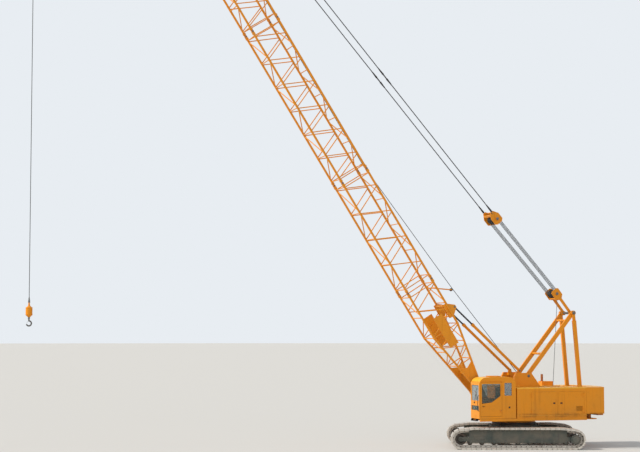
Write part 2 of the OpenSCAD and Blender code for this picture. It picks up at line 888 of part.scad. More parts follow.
// Rear legs: a flat strap to the apex, boxed over most of its length
module gantry_rear_legs() {
  boxed = 0.92;
  color("orange")
    for (s = [-1, 1])
      difference() {
        union() {
          leg(rear_foot, rear_apex, s * rear_leg_y, 130, rear_leg_t);
          leg(rear_foot, lerp(rear_foot, rear_apex, boxed), s * rear_leg_y, 150, 120);
          side_box(s, [rear_foot[0] - 90, girder_y - 60, girder_top + seat],
            [rear_foot[0] + 90, rear_leg_y + 75, girder_top + 90]);
          translate([-apex_x, s * rear_leg_y, apex_z])
            cross_rod(leg_w / 2 + 15, rear_leg_t, 48);
        }
        translate([-apex_x, s * rear_leg_y, apex_z])
          cross_rod(apex_r + fit, 200, 48);
      }
}

module gantry_head() {
  color("gray")
    translate([-apex_x, 0, apex_z])
      cross_rod(apex_r, 2 * rear_leg_y + 100, 48);
}

// Blocks of the luffing ropes

luff_pitch = 90;
luff_w = 60;
luff_hub = 70;
luff_shaft_r = 50;
spread_x = -1860;
spread_z = 6360;
spread_r = 150;
spread_y = 330;
spread_d = [spread_x + apex_x, spread_z - apex_z];
spread_l = norm(spread_d);

module luffing_spreader() {
  color("orange")
    translate([-apex_x, 0, apex_z])
      rotate([0, -atan2(spread_d[1], spread_d[0]), 0]) {
        for (s = [-1, 1])
          difference() {
            union() {
              translate([0, s * spread_y, 0])
                cross_rod(90, 40, 48);
              side_plate([
                [0, -60], [spread_l - 280, -60], [spread_l - 170, -190], [spread_l + 150, -190],
                [spread_l + 200, -120], [spread_l + 200, 120], [spread_l + 150, 190],
                [spread_l - 170, 190], [spread_l - 280, 60], [0, 60],
              ], s * spread_y, 30);
            }
            translate([0, s * spread_y, 0])
              cross_rod(apex_r + fit, 200, 48);
          }
        // Crossbars, shaft and sheaves
        for (q = [[spread_l - 300, 0], [spread_l - 150, 150], [spread_l - 150, -150]])
          translate([q[0], 0, q[1]])
            cross_rod(28, 2 * spread_y);
        translate([spread_l, 0, 0])
          cross_rod(luff_shaft_r, 2 * spread_y + 80);
        for (k = [-2 : 2])
          translate([spread_l, k * luff_pitch, 0])
            sheave(spread_r, luff_w, luff_hub);
      }
}

// Boom, drawn along +X from its foot pins with its back on +Z

module on_boom() {
  translate([foot_x, 0, foot_z])
    rotate([0, -boom_angle, 0])
      children();
}

// How far the ends of lacing bars stay from their station, from a ring and from a chord's middle
lace_gap = 28;
ring_gap = 50;
chord_in = 25;
// Lacing between two stations [x, half width, half depth]: zigzags in the side faces,
// struts and diagonals over twice the length in the front and the back
module lacing(a, b, bays) {
  back_bays = ceil(bays / 2);
  run = b[0] - a[0];
  function station(x) = lerp(a, b, x / run);
  for (i = [0 : bays - 1], s = [-1, 1]) {
    f = i % 2 == 0 ? 1 : -1;
    p = station(i * run / bays + (i == 0 ? ring_gap : lace_gap));
    q = station((i + 1) * run / bays - (i == bays - 1 ? ring_gap : lace_gap));
    bar([p[0], s * p[1], -f * p[2]], [q[0], s * q[1], f * q[2]], lace_d);
  }
  for (i = [0 : back_bays - 1], s = [-1, 1]) {
    f = i % 2 == 0 ? 1 : -1;
    p = station(i * run / back_bays + 2 * ring_gap);
    q = station((i + 1) * run / back_bays - 2 * ring_gap);
    bar([p[0], -f * (p[1] - chord_in), s * p[2]], [q[0], f * (q[1] - chord_in), s * q[2]], lace_d);
    if (i > 0) {
      m = station(i * run / back_bays);
      bar([m[0], chord_in - m[1], s * m[2]], [m[0], m[1] - chord_in, s * m[2]], lace_d);
    }
  }
}

function bays(run) = round(run / bay_l);

module frame_ring(p) {
  for (s = [-1, 1]) {
    bar([p[0], chord_in - p[1], s * p[2]], [p[0], p[1] - chord_in, s * p[2]], lace_d);
    bar([p[0], s * p[1], chord_in - p[2]], [p[0], s * p[1], p[2] - chord_in], lace_d);
  }
}

module chords(a, b) {
  for (sy = [-1, 1], sz = [-1, 1])
    bar([a[0], sy * a[1], sz * a[2]], [b[0], sy * b[1], sz * b[2]], chord_d, 24);
}

// Balls that close the bends of the four chords
module chord_bends(p) {
  for (sy = [-1, 1], sz = [-1, 1])
    translate([p[0], sy * p[1], sz * p[2]])
      sphere(d = chord_d * 1.2, $fn = 24);
}

function full(x) = [x, boom_w / 2, boom_h / 2];

// Joints of the sections: pinned forks on one end, eyes on the next
eye_t = 50;
fork_t = 22;
joint_in = 70;
joint_l = 80;
chord_end = 100;
ring_x = 190;
fork_y = eye_t / 2 + seat + fork_t / 2;
joint_w = 2 * fork_y + fork_t;

module at_chords(x) {
  for (sy = [-1, 1], sz = [-1, 1])
    translate([x, sy * boom_w / 2, sz * boom_h / 2])
      children();
}

module joint_forks(x) {
  at_chords(x) {
    translate([-joint_in - joint_l, -joint_w / 2, -55])
      cube([joint_l, joint_w, 110]);
    for (y = [-fork_y, fork_y]) {
      translate([0, y, 0])
        cross_rod(52, fork_t);
      translate([-joint_in - lap, y - fork_t / 2, -46])
        cube([joint_in + lap, fork_t, 92]);
    }
    cross_rod(joint_pin_r, joint_w + 30);
  }
}

module joint_eyes(x) {
  at_chords(x)
    difference() {
      union() {
        translate([joint_in, -joint_w / 2, -55])
          cube([joint_l, joint_w, 110]);
        cross_rod(52, eye_t);
        translate([0, -eye_t / 2, -46])
          cube([joint_in + lap, eye_t, 92]);
      }
      cross_rod(joint_pin_r + fit, 100);
    }
}

// A roller that keeps the hoist rope off the back of the boom; rope_v is the rope's middle there
hoist_y = 60;
guide_r = 40;
module rope_guide(u, rope_v) {
  v = rope_v - rope_r - guide_r;
  translate([u, hoist_y, v])
    cross_rod(guide_r, 56);
  translate([u, hoist_y, v])
    cross_rod(12, 110);
  for (s = [-1, 1])
    box([u - 32, hoist_y + s * 42 - 7, boom_h / 2], [u + 32, hoist_y + s * 42 + 7, v + 32]);
}

module insert(start, len, guided = false) {
  a = full(start + ring_x);
  b = full(start + len - ring_x);
  color("orange")
    on_boom() {
      chords(full(start + chord_end), full(start + len - chord_end));
      lacing(a, b, bays(b[0] - a[0]));
      frame_ring(a);
      frame_ring(b);
      joint_eyes(start);
      joint_forks(start + len);
      if (guided)
        rope_guide(a[0], guide_v);
    }
}

start_2 = base_l + insert_1_l;
start_3 = start_2 + insert_2_l;
start_4 = start_3 + insert_3_l;
start_top = start_4 + insert_3_l;
taper_x = 3600;
stop_bar_v = boom_h / 2 - 100;
// The hoist rope's middle over the two guide rollers
guide_v = boom_h / 2 + 120;

module boom_base() {
  foot = [560, foot_w / 2, 60];
  web_t = 16;
  root = lerp(foot, full(taper_x), 0.5);
  web_end = lerp(foot, full(taper_x), 0.46);
  arm = [[5300, boom_h / 2], [4810, 1266]];
  end = full(base_l - ring_x);
  color("orange")
    on_boom() {
      chords(foot, full(taper_x));
      chord_bends(full(taper_x));
      chords(full(taper_x), full(base_l - chord_end));
      lacing(root, full(taper_x), 3);
      lacing(full(taper_x), end, bays(end[0] - taper_x));
      frame_ring(root);
      frame_ring(full(taper_x));
      frame_ring(end);
      joint_forks(base_l);
      for (s = [-1, 1]) {
        // Foot ears
        difference() {
          union() {
            translate([0, s * foot_w / 2, 0])
              cross_rod(105, ear_t, 48);
            translate([300, s * foot_w / 2, 0])
              cube([600, ear_t, 190], center = true);
            translate([foot[0] + 20, s * foot_w / 2, 0])
              cube([160, 116, 240], center = true);
          }
          translate([0, s * foot_w / 2, 0])
            cross_rod(foot_pin_r + fit, 200, 48);
        }
        // Webs between the chords above the foot
        side_plate([
          [foot[0], -foot[2]], [web_end[0], -web_end[2]], [web_end[0] - 150, 0],
          [web_end[0], web_end[2]], [foot[0], foot[2]],
        ], s * (foot_w / 2 + 12), web_t);
        // Long plates on the side faces
        side_plate([[2900, -210], [4300, -210], [4300, 210], [2900, 210]], s * (boom_w / 2 + 12), 28);
      }
      // Cross tube between the webs with a plate under the hoist rope
      translate([1560, 0, 0])
        cross_rod(60, foot_w + 24);
      box([1500, -200, -20], [1950, 200, 20]);
      // Ears of the backstops, joined across the boom below the path of the eyes
      for (s = [-1, 1], e = [[-stop_gap - 8, 16], [stop_gap + 17, 34]])
        difference() {
          side_plate([
            [stop_u - 300, stop_bar_v - 50], [stop_u + 300, stop_bar_v - 50], [stop_u + 300, boom_h / 2 + 20],
            [stop_u + 60, stop_v + 60], [stop_u - 60, stop_v + 60], [stop_u - 300, boom_h / 2 + 20],
          ], s * (stop_y + e[0]), e[1]);
          translate([stop_u, s * stop_y, stop_v])
            cross_rod(stop_pin_r + fit, 300);
        }
      for (x = [stop_u - 250, stop_u + 250])
        translate([x, 0, stop_bar_v])
          cross_rod(30, 2 * stop_y + 80);
      // Arm that keeps the hoist rope off the boom, with its roller
      bar([arm[0][0], chord_in - boom_w / 2, arm[0][1]], [arm[0][0], boom_w / 2 - chord_in, arm[0][1]], 60);
      for (y = [-70, 70])
        bar([arm[0][0], hoist_y + y, arm[0][1]], [arm[1][0], hoist_y + y, arm[1][1]], 45);
      translate([arm[1][0], hoist_y, arm[1][1]]) {
        cross_rod(60, 86);
        cross_rod(16, 150);
      }
    }
}

head_u = boom_l;
head_v = -150;
head_y = boom_w / 2 - 100;
head_t = 40;
head_shaft_r = 55;
jib_p = [boom_l + 40, 60];
jib_pin_r = 30;

module boom_top() {
  straight = start_top + 3000;
  tip = [boom_l - 500, head_y, 260];
  a = full(start_top + ring_x);
  color("orange")
    on_boom() {
      chords(full(start_top + chord_end), full(straight));
      chords(full(straight), tip);
      chord_bends(full(straight));
      lacing(a, full(straight), bays(straight - a[0]));
      lacing(full(straight), lerp(full(straight), tip, 0.92), bays(tip[0] - straight));
      frame_ring(a);
      frame_ring(full(straight));
      joint_eyes(start_top);
      rope_guide(straight, guide_v);
      // Head plates
      for (s = [-1, 1])
        difference() {
          side_plate([
            [boom_l - 700, -300], [boom_l - 350, -340], [boom_l + 60, -290], [boom_l + 160, -150],
            [boom_l + 100, 60], [boom_l - 80, 350], [boom_l - 700, 350],
          ], s * head_y, head_t);
          translate([head_u, s * boom_w / 2, head_v])
            cross_rod(head_shaft_r + fit, 600);
          translate([tie_p[0], s * boom_w / 2, tie_p[1]])
            cross_rod(tie_pin_r + fit, 600);
          translate([jib_p[0], s * boom_w / 2, jib_p[1]])
            cross_rod(jib_pin_r, 600);
        }
      // Cross tubes between the head plates
      for (q = [[boom_l - 640, 270], [boom_l - 640, -250], [boom_l - 60, 220]])
        translate([q[0], 0, q[1]])
          cross_rod(38, 2 * head_y);
    }
}

module head_sheaves() {
  color("dimgray")
    on_boom()
      translate([head_u, 0, head_v]) {
        cross_rod(head_shaft_r, 2 * head_y + head_t + 80, 48);
        for (k = [-1.5 : 1.5])
          translate([0, k * 2 * hoist_y, 0])
            sheave(sheave_r, 70, 90);
      }
}

// Stays

bridle_p = [6300, 4480];
tie_p = [boom_l - 150, 280];
tie_pin_r = 25;
tie_eye_w = 40;
tie_y = head_y - head_t / 2 - tie_eye_w / 2 - move;
stay_d = tie_p - bridle_p;
stay_angle = atan2(-stay_d[1], stay_d[0]);
// The pendants' lower eyes lie this far ahead of the sheaves' shaft
stay_u = 330;
stay_pin_r = 25;
stay_low = bridle_p + stay_u * stay_d / norm(stay_d);
stay_start = bridle_p + (stay_u + 40) * stay_d / norm(stay_d);
tie_pin_l = head_t + tie_eye_w;

module pendants() {
  color("gray")
    on_boom()
      for (s = [-1, 1]) {
        bar([stay_start[0], s * bridle_y, stay_start[1]], [tie_p[0], s * tie_y, tie_p[1]], pendant_d, 16);
        translate([tie_p[0], s * tie_y, tie_p[1]])
          cross_rod(50, tie_eye_w, 48);
        translate([tie_p[0], s * (tie_y + tie_pin_l / 2 - tie_eye_w / 4), tie_p[1]])
          cross_rod(tie_pin_r, tie_pin_l);
        difference() {
          translate([stay_low[0], s * bridle_y, stay_low[1]])
            cross_rod(50, 40, 48);
          translate([stay_low[0], s * bridle_y, stay_low[1]])
            cross_rod(stay_pin_r + fit, 100);
        }
      }
}

block_r = 165;
module bridle() {
  plate_t = 25;
  side_y = bridle_y - 20 - seat - plate_t / 2;
  color("orange")
    on_boom()
      translate([bridle_p[0], 0, bridle_p[1]])
        rotate([0, stay_angle, 0]) {
          for (s = [-1, 1]) {
            side_plate([
              [-210, -120], [-130, -215], [150, -215], [stay_u + 55, -60],
              [stay_u + 55, 60], [150, 215], [-130, 215], [-210, 120],
            ], s * side_y, plate_t);
            // Pin that carries the pendant's eye
            translate([stay_u, s * (bridle_y - 10), 0])
              cross_rod(stay_pin_r, 90);
            translate([stay_u, s * (bridle_y + 20 + seat + 8), 0])
              cross_rod(40, 16);
          }
          // Shaft, sheaves, crossbars and the plates that close the frame ahead of the sheaves
          cross_rod(luff_shaft_r, 2 * bridle_y + 60);
          for (k = [-2 : 2])
            translate([0, k * luff_pitch, 0])
              sheave(block_r, luff_w, luff_hub);
          for (v = [-1, 1]) {
            translate([-165, 0, v * 140])
              cross_rod(22, 2 * side_y);
            translate([250, 0, v * 105])
              cube([80, 2 * side_y, 60], center = true);
          }
        }
}

// Backstops

stop_x = -50;
stop_top_x = 2825;
// The upper pin in the boom's own frame
stop_d = [stop_top_x - foot_x, stop_top_z - foot_z];
stop_u = stop_d[0] * cos(boom_angle) + stop_d[1] * sin(boom_angle);
stop_v = stop_d[1] * cos(boom_angle) - stop_d[0] * sin(boom_angle);
stop_l = norm([stop_top_x - stop_x, stop_top_z - stop_z]);
stop_angle = atan2(stop_top_z - stop_z, stop_top_x - stop_x);
stop_eye_r = 60;
tube_l = 2850;
tube_r = 58;
tube_start = 100;
rod_r = 34;
rod_l = 2300;
rod_end = 130;
// Half of the gap between the ears on the boom, in which the rods swing
stop_gap = rod_r + move;
rod_eye_w = 2 * (stop_gap - 10);
module on_stop() {
  for (s = [-1, 1])
    translate([stop_x, s * stop_y, stop_z])
      rotate([0, -stop_angle, 0])
        children();
}

// A round bar along the backstop from one distance to another
module stop_bar(from, to, r) {
  translate([from, 0, 0])
    rotate([0, 90, 0])
      cylinder(h = to - from, r = r, $fn = 32);
}

module backstop_tubes() {
  tongue = 2 * (stop_ear_y - stop_ear_t / 2 - move);
  color("orange")
    on_stop()
      difference() {
        union() {
          cross_rod(stop_eye_r, tongue);
          cross_rod(stop_pin_r, 2 * stop_ear_y + stop_ear_t + 10);
          box([0, -tongue / 2, -50], [tube_start + 30, tongue / 2, 50]);
          stop_bar(tube_start, tube_l, tube_r);
          stop_bar(tube_l - 120, tube_l, tube_r + 12);
        }
        stop_bar(tube_start + 60, tube_l + lap, rod_r + move);
      }
}

module backstop_rods() {
  color("black")
    on_stop() {
      stop_bar(stop_l - rod_end - rod_l, stop_l - rod_end, rod_r);
      translate([stop_l, 0, 0])
        cross_rod(stop_eye_r, rod_eye_w);
      box([stop_l - rod_end - 30, -rod_eye_w / 2, -30], [stop_l, rod_eye_w / 2, 30]);
    }
}

// Hook

head_x = foot_x + head_u * cos(boom_angle) - head_v * sin(boom_angle);
head_z = foot_z + head_u * sin(boom_angle) + head_v * cos(boom_angle);
rope_x = head_x + sheave_r + rope_r + seat;
weight_top = hook_z + 800;
weight_l_hook = 560;
weight_r = 130;
hook_d = 56;
shank_r = 30;

module hoist_rope() {
  color("gray")
    translate([rope_x, hoist_y, weight_top + seat])
      cylinder(h = head_z - weight_top - seat, r = rope_r, $fn = 12);
}

module hook_weight() {
  color("dimgray")
    translate([rope_x, hoist_y, weight_top])
      rotate_extrude($fn = 32)
        polygon([
          [0, 0], [rope_r + 16, 0], [rope_r + 26, -120], [weight_r, -200],
          [weight_r, 80 - weight_l_hook], [45, -weight_l_hook], [0, -weight_l_hook],
        ]);
}

module hook() {
  shank_z = hook_r - 20;
  color("dimgray")
    translate([rope_x, hoist_y, hook_z]) {
      rotate([90, 0, 0])
        rotate([0, 0, 90])
          rotate_extrude(angle = 250)
            translate([hook_r, 0])
              circle(d = hook_d, $fn = 16);
      translate([0, 0, shank_z])
        cylinder(h = 800 - weight_l_hook - shank_z - seat, r = shank_r);
      translate([0, 0, 190])
        cylinder(h = 30, r = shank_r + 18, $fn = 6);
    }
}

car_body();
slew_ring_lower();
side_frame(1);  // side_frame_left
side_frame(-1);  // side_frame_right
under(1) track();  // track_left
under(-1) track();  // track_right
idlers();
sprockets();
rollers();
travel_motors();
slew_ring_upper();
upper_frame();
boom_foot_pins();
house_side(1);  // house_left
house_side(-1);  // house_right
house_roof();
engine_block();
counterweight();
winch_drums();
house_door(1, door_spans[0], false);  // house_door_left_front
house_door(1, door_spans[1], true);  // house_door_left_rear
house_door(-1, door_spans[0], false);  // house_door_right_front
house_door(-1, door_spans[1], true);  // house_door_right_rear
cab_shell();
cab_glass();
cab_seat();
cab_door();
cab_door_glass();
gantry_cheeks();
gantry_front_legs();
gantry_rear_legs();
gantry_head();
luffing_spreader();
boom_base();
insert(base_l, insert_1_l);  // boom_insert_1
insert(start_2, insert_2_l, true);  // boom_insert_2
insert(start_3, insert_3_l);  // boom_insert_3
insert(start_4, insert_3_l);  // boom_insert_4
boom_top();
head_sheaves();
pendants();
bridle();
backstop_tubes();
backstop_rods();
hoist_rope();
hook_weight();
hook();
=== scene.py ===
"""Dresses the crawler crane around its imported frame: paint, ropes, glass, seals, lamps, rails and small fittings."""

import json
import math

import bmesh
import bpy
from mathutils import Matrix, Vector


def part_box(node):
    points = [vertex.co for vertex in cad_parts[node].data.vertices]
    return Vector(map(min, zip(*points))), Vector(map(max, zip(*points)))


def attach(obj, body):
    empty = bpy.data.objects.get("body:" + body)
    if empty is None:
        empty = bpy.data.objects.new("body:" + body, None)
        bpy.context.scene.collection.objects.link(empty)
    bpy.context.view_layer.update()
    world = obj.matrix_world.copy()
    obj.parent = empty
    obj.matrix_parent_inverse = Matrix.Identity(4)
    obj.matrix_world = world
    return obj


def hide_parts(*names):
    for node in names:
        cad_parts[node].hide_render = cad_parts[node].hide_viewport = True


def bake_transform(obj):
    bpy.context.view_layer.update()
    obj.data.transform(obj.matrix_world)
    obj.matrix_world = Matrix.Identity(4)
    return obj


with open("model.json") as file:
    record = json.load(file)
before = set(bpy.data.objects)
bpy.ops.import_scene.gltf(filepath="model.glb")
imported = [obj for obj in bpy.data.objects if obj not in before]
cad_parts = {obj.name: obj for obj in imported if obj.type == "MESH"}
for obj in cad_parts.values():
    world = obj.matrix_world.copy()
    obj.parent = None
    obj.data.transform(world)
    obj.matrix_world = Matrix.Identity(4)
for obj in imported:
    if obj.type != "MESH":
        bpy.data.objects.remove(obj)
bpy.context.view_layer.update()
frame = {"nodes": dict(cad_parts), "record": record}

X, Y, Z = Vector((1, 0, 0)), Vector((0, 1, 0)), Vector((0, 0, 1))

# Places that the frame gives

BOOM_ANGLE = math.radians(58)
BOOM_FOOT = Vector((1.31, 0, 1.75))
BRIDLE = (6.3, 4.48)
PENDANT_TIE = (34.45, 0.28)
HEAD_SHEAVE = (34.6, -0.15)
HEAD_SHEAVE_RADIUS = 0.28
SPREADER = Vector((-1.86, 0, 6.36))
FRONT_DRUM = Vector((-0.65, 0, 2.05))
REAR_DRUM = Vector((-1.52, 0, 1.96))
TRACK_TURN = math.radians(-18)
TRACK_OFFSET = 1.77
END_SHAFT = (2.315, 0.41)
HOUSE_TOP = 2.47
CAB_BACK, CAB_FRONT = 0.58, 2.18
CAB_RIGHT, CAB_LEFT = 0.69, 1.62
CAB_MIDDLE = (CAB_RIGHT + CAB_LEFT) / 2
SEAL_INSET = 0.0095
HOIST_SIDE = 0.06
HOIST_ROPE_RADIUS = 0.014
FRONT_DRUM_RADIUS, REAR_DRUM_RADIUS, DRUM_HALF_WIDTH = 0.23, 0.21, 0.372
SPREADER_SHEAVE_RADIUS, BRIDLE_SHEAVE_RADIUS = 0.15, 0.165
LUFFING_SHEAVE_SPACING = 0.09
GANTRY_FOOT, GANTRY_APEX = Vector((-0.38, 0, 2.93)), Vector((-2.48, 0, 5.55))
BACKSTOP_FOOT, BACKSTOP_EYE = Vector((-0.05, 0, 3.15)), Vector((2.825, 0, 5.79))
CHAIN_LINKS = 56
LUFFING_ROPE_RADIUS = 0.011


def on_boom(along, side, back):
    """The point at these distances from the boom's foot: along it, to its left, and out of its back."""
    c, s = math.cos(BOOM_ANGLE), math.sin(BOOM_ANGLE)
    return BOOM_FOOT + Vector((along * c - back * s, side, along * s + back * c))


TRACK_FRAME = Matrix.Rotation(TRACK_TURN, 4, "Z")


# Shader expressions


def linear(red, green, blue, alpha=1.0):
    """A colour as it is written in a paint chart, made linear."""

    def channel(value):
        value /= 255
        return value / 12.92 if value <= 0.04045 else ((value + 0.055) / 1.055) ** 2.4

    return (channel(red), channel(green), channel(blue), alpha)


class Expr:
    """A socket that takes part in Python arithmetic; each operation adds its Math node."""

    def __init__(self, finish, socket):
        self.finish, self.socket = finish, socket

    def math(self, operation, *others, clamp=False):
        settings = {"operation": operation, "use_clamp": clamp}
        values = dict(enumerate((self, *others)))
        return self.finish.node("ShaderNodeMath", settings, values)

    def __add__(self, other):
        return self.math("ADD", other)

    def __sub__(self, other):
        return self.math("SUBTRACT", other)

    def __mul__(self, other):
        return self.math("MULTIPLY", other)

    def __rsub__(self, other):
        settings = {"operation": "SUBTRACT"}
        return self.finish.node("ShaderNodeMath", settings, {0: other, 1: self})

    __radd__, __rmul__ = __add__, __mul__

    def above(self, low, high):
        """0 below low, 1 above high and smooth in between; the other way round where low is the larger."""
        rising = low < high
        settings = {"interpolation_type": "SMOOTHSTEP"}
        ends = (low, high, 0.0, 1.0) if rising else (high, low, 1.0, 0.0)
        return self.finish.node("ShaderNodeMapRange", settings, dict(enumerate((self, *ends))))


class Finish:
    """One procedural material on a Principled shader, worked out from Object coordinates or a UV map."""

    def __init__(self, name, **constants):
        self.material = bpy.data.materials.new(name)
        self.material.use_nodes = True
        self.tree = self.material.node_tree
        self.shader = self.tree.nodes["Principled BSDF"]
        for socket, value in constants.items():
            self.shader.inputs[socket.replace("_", " ")].default_value = value
        place = self.tree.nodes.new("ShaderNodeTexCoord")
        self.place = place.outputs["Object"]
        self.unwrapped = place.outputs["UV"]

    def node(self, kind, settings=None, values=None, output=0):
        made = self.tree.nodes.new(kind)
        for name, value in (settings or {}).items():
            setattr(made, name, value)
        for name, value in (values or {}).items():
            socket = made.inputs[name]
            value = value.socket if isinstance(value, Expr) else value
            if isinstance(value, bpy.types.NodeSocket):
                self.tree.links.new(value, socket)
            else:
                socket.default_value = value
        return Expr(self, made.outputs[output])

    def stretched(self, x, y, z):
        scale = {"Vector": self.place, "Scale": (x, y, z)}
        return self.node("ShaderNodeMapping", None, scale)

    def part_of(self, coordinates, axis):
        split = self.tree.nodes.new("ShaderNodeSeparateXYZ")
        source = coordinates.socket if isinstance(coordinates, Expr) else coordinates
        self.tree.links.new(source, split.inputs[0])
        return Expr(self, split.outputs[axis])

    def noise(self, scale, detail=4.0, rough=0.55, at=None):
        values = {"Vector": at or self.place, "Scale": scale, "Detail": detail, "Roughness": rough}
        return self.node("ShaderNodeTexNoise", None, values)

    def blend(self, share, first, second, mode="MIX"):
        settings = {"data_type": "RGBA", "blend_type": mode}
        return self.node("ShaderNodeMix", settings, {0: share, 6: first, 7: second}, output=2)

    def bump(self, height, distance, strength=1.0):
        values = {"Height": height, "Distance": distance, "Strength": strength}
        return self.node("ShaderNodeBump", None, values)

    def feed(self, **sockets):
        for name, value in sockets.items():
            self.tree.links.new(value.socket, self.shader.inputs[name.replace("_", " ")])
        return self.material


# Finishes


def machine_paint(name, tone, faded, dust_top=2.4, dust=0.4, chips=0.72, dirt=(150, 132, 104), sill=None):
    """Weathered enamel: fading in patches, dust that thins upwards, run marks, chips down to primer, and where a sill
    height is given a darker streaked band about it: painted shade along the ledge, broken up by dirt streaks.
    """
    paint = Finish(name, Coat_Weight=0.06, Coat_Roughness=0.35, Specular_IOR_Level=0.28)
    patches = paint.noise(0.9, 5).above(0.35, 0.7)
    mottle = paint.noise(9, 6, 0.65)
    runs = paint.noise(1.0, 5, 0.6, at=paint.stretched(9, 9, 0.55)).above(0.52, 0.78)
    height = paint.part_of(paint.place, 2)
    low = height.above(dust_top, 0.9)
    settled = (low * paint.noise(1.7, 6, 0.6).above(0.3, 0.8)) * dust
    chip = paint.noise(46, 4, 0.6).above(chips, chips + 0.03) * paint.noise(2.1, 3).above(0.5, 0.62)
    scuffs = paint.noise(5.5, 7, 0.7).above(0.52, 0.72)
    colour = paint.blend(patches * 0.5 + mottle * 0.25, linear(*tone), linear(*faded))
    colour = paint.blend(scuffs * 0.3, colour, linear(tone[0] * 0.84, tone[1] * 0.8, tone[2] + 14))
    colour = paint.blend(runs * 0.34, colour, linear(tone[0] * 0.66, tone[1] * 0.58, tone[2] * 0.7))
    colour = paint.blend(settled, colour, linear(*dirt))
    if sill:
        # Darker band about the sill along the house behind the cab: painted shade along the ledge, broken up by streaks
        # of dirt.
        foot = height.above(sill + 0.09, sill + 0.01) * height.above(sill - 0.14, sill - 0.08)
        behind_cab = paint.part_of(paint.place, 0).above(0.58, 0.4)
        streaks = paint.noise(1.3, 6, 0.7, at=paint.stretched(1.4, 1.4, 0.8)).above(0.38, 0.66)
        ledge_shade_and_streaks = foot * behind_cab * streaks
        colour = paint.blend(ledge_shade_and_streaks * 0.5, colour, linear(104, 62, 26))
    colour = paint.blend(chip, colour, linear(84, 62, 48))
    rough = 0.36 + mottle * 0.16 + scuffs * 0.14 + settled * 0.4 + runs * 0.12
    grain = paint.noise(160, 2) * 0.3 + paint.noise(1.6, 2) * 6 - chip * 1.2
    return paint.feed(Base_Color=colour, Roughness=rough, Normal=paint.bump(grain, 0.0006, 0.6))


def bare_steel(name, tone, rust, worn=0.4, dirt=0.5, metallic=0.75, scale=1.0):
    """Used steel: rubbed bright in places, brown where rain stays, caked dirt in the hollows."""
    steel = Finish(name)
    rubbed = steel.noise(7 * scale, 6, 0.7)
    brown = steel.noise(3.1 * scale, 8, 0.7).above(0.62 - worn * 0.3, 0.78)
    caked = steel.noise(5.3 * scale, 7, 0.75).above(0.62, 0.75) * dirt
    colour = steel.blend(rubbed.above(0.3, 0.7) * 0.5, linear(*tone), linear(*(0.7 * t for t in tone)))
    colour = steel.blend(brown * 0.6, colour, linear(*rust))
    colour = steel.blend(caked, colour, linear(148, 130, 104))
    shine = (1 - brown) * (1 - caked) * metallic
    rough = 0.42 + rubbed * 0.2 + caked * 0.3 + brown * 0.15
    marks = steel.noise(60 * scale, 5, 0.7) + caked * 2.5
    return steel.feed(Base_Color=colour, Metallic=shine, Roughness=rough, Normal=steel.bump(marks, 0.0012, 0.7))


def lay_of_map(rope):
    """Turns around a rope and metres along it, from the piece's own UV map."""
    return rope.part_of(rope.unwrapped, 0), rope.part_of(rope.unwrapped, 1)


def lay_of_pendants(rope):
    """The same for both pendants, which run evenly apart from the bridle to the boom's head."""
    start, end = on_boom(BRIDLE[0], 0, BRIDLE[1]), on_boom(PENDANT_TIE[0], 0, PENDANT_TIE[1])
    way = (end - start).normalized()
    square = Vector((-way.z, 0, way.x))
    x, z = rope.part_of(rope.place, 0) - start.x, rope.part_of(rope.place, 2) - start.z
    along, off = x * way.x + z * way.z, x * square.x + z * square.z
    spread = (0.445 - 0.42) / (end - start).length
    aside = rope.part_of(rope.place, 1).math("ABSOLUTE") - (along * spread + 0.42)
    return off.math("ARCTAN2", aside) * (0.5 / math.pi), along


def wire_rope(name, tone, lay=lay_of_map, strands=6, pitch=0.18):
    """Stranded wire rope, its strands wound about it and its wires laid the other way."""
    rope = Finish(name)
    around, along = lay(rope)
    phase = (around * strands + along * (strands / pitch)) * (2 * math.pi)
    strand = phase.math("SINE") * 0.5 + 0.5
    wires = ((around * 40 - along * 320) * (2 * math.pi)).math("SINE") * 0.5 + 0.5
    grease = rope.noise(0.8, 5, 0.6).above(0.45, 0.75)
    colour = rope.blend(strand * 0.7 + wires * 0.3, linear(*(0.86 * t for t in tone)), linear(*tone))
    colour = rope.blend(grease * 0.3, colour, linear(64, 58, 52))
    rough = 0.62 - grease * 0.12
    relief = strand + wires * 0.25
    return rope.feed(Base_Color=colour, Metallic=(1 - grease) * 0.12, Roughness=rough,
                     Normal=rope.bump(relief, 0.0008, 0.6))


def dark_plastic(name, tone, rough=0.6, grain=240):
    """Rubber, moulded plastic or cast covers: an even tone with a fine grain and a film of dust."""
    cover = Finish(name, Specular_IOR_Level=0.35)
    film = cover.noise(4.5, 6, 0.7).above(0.45, 0.75)
    colour = cover.blend(film * 0.3, linear(*tone), linear(112, 104, 92))
    surface = rough + film * 0.2
    return cover.feed(Base_Color=colour, Roughness=surface, Normal=cover.bump(cover.noise(grain, 3), 0.0005, 0.6))


def window_glass(name, tint, clear):
    """Tinted safety glass with a little dust towards its lower edge."""
    glass = Finish(name, IOR=1.5)
    film = glass.noise(3.4, 6, 0.7).above(0.42, 0.8)
    colour = glass.blend(film * 0.35, linear(*tint), linear(150, 150, 138))
    return glass.feed(Base_Color=colour, Roughness=0.03 + film * 0.16, Alpha=clear + film * 0.18)


def lamp_glass(name, tone, glow):
    """A ribbed lens over a reflector; its faint emission is a painted glow."""
    lens = Finish(name, Coat_Weight=0.5, Emission_Strength=glow)
    ribs = (lens.part_of(lens.place, 2) * 900).math("SINE") * 0.5 + 0.5
    colour = lens.blend(ribs * 0.35, linear(*tone), linear(*(0.6 * t for t in tone)))
    rough = 0.12 + ribs * 0.1
    return lens.feed(Base_Color=colour, Emission_Color=colour, Roughness=rough, Normal=lens.bump(ribs, 0.001))


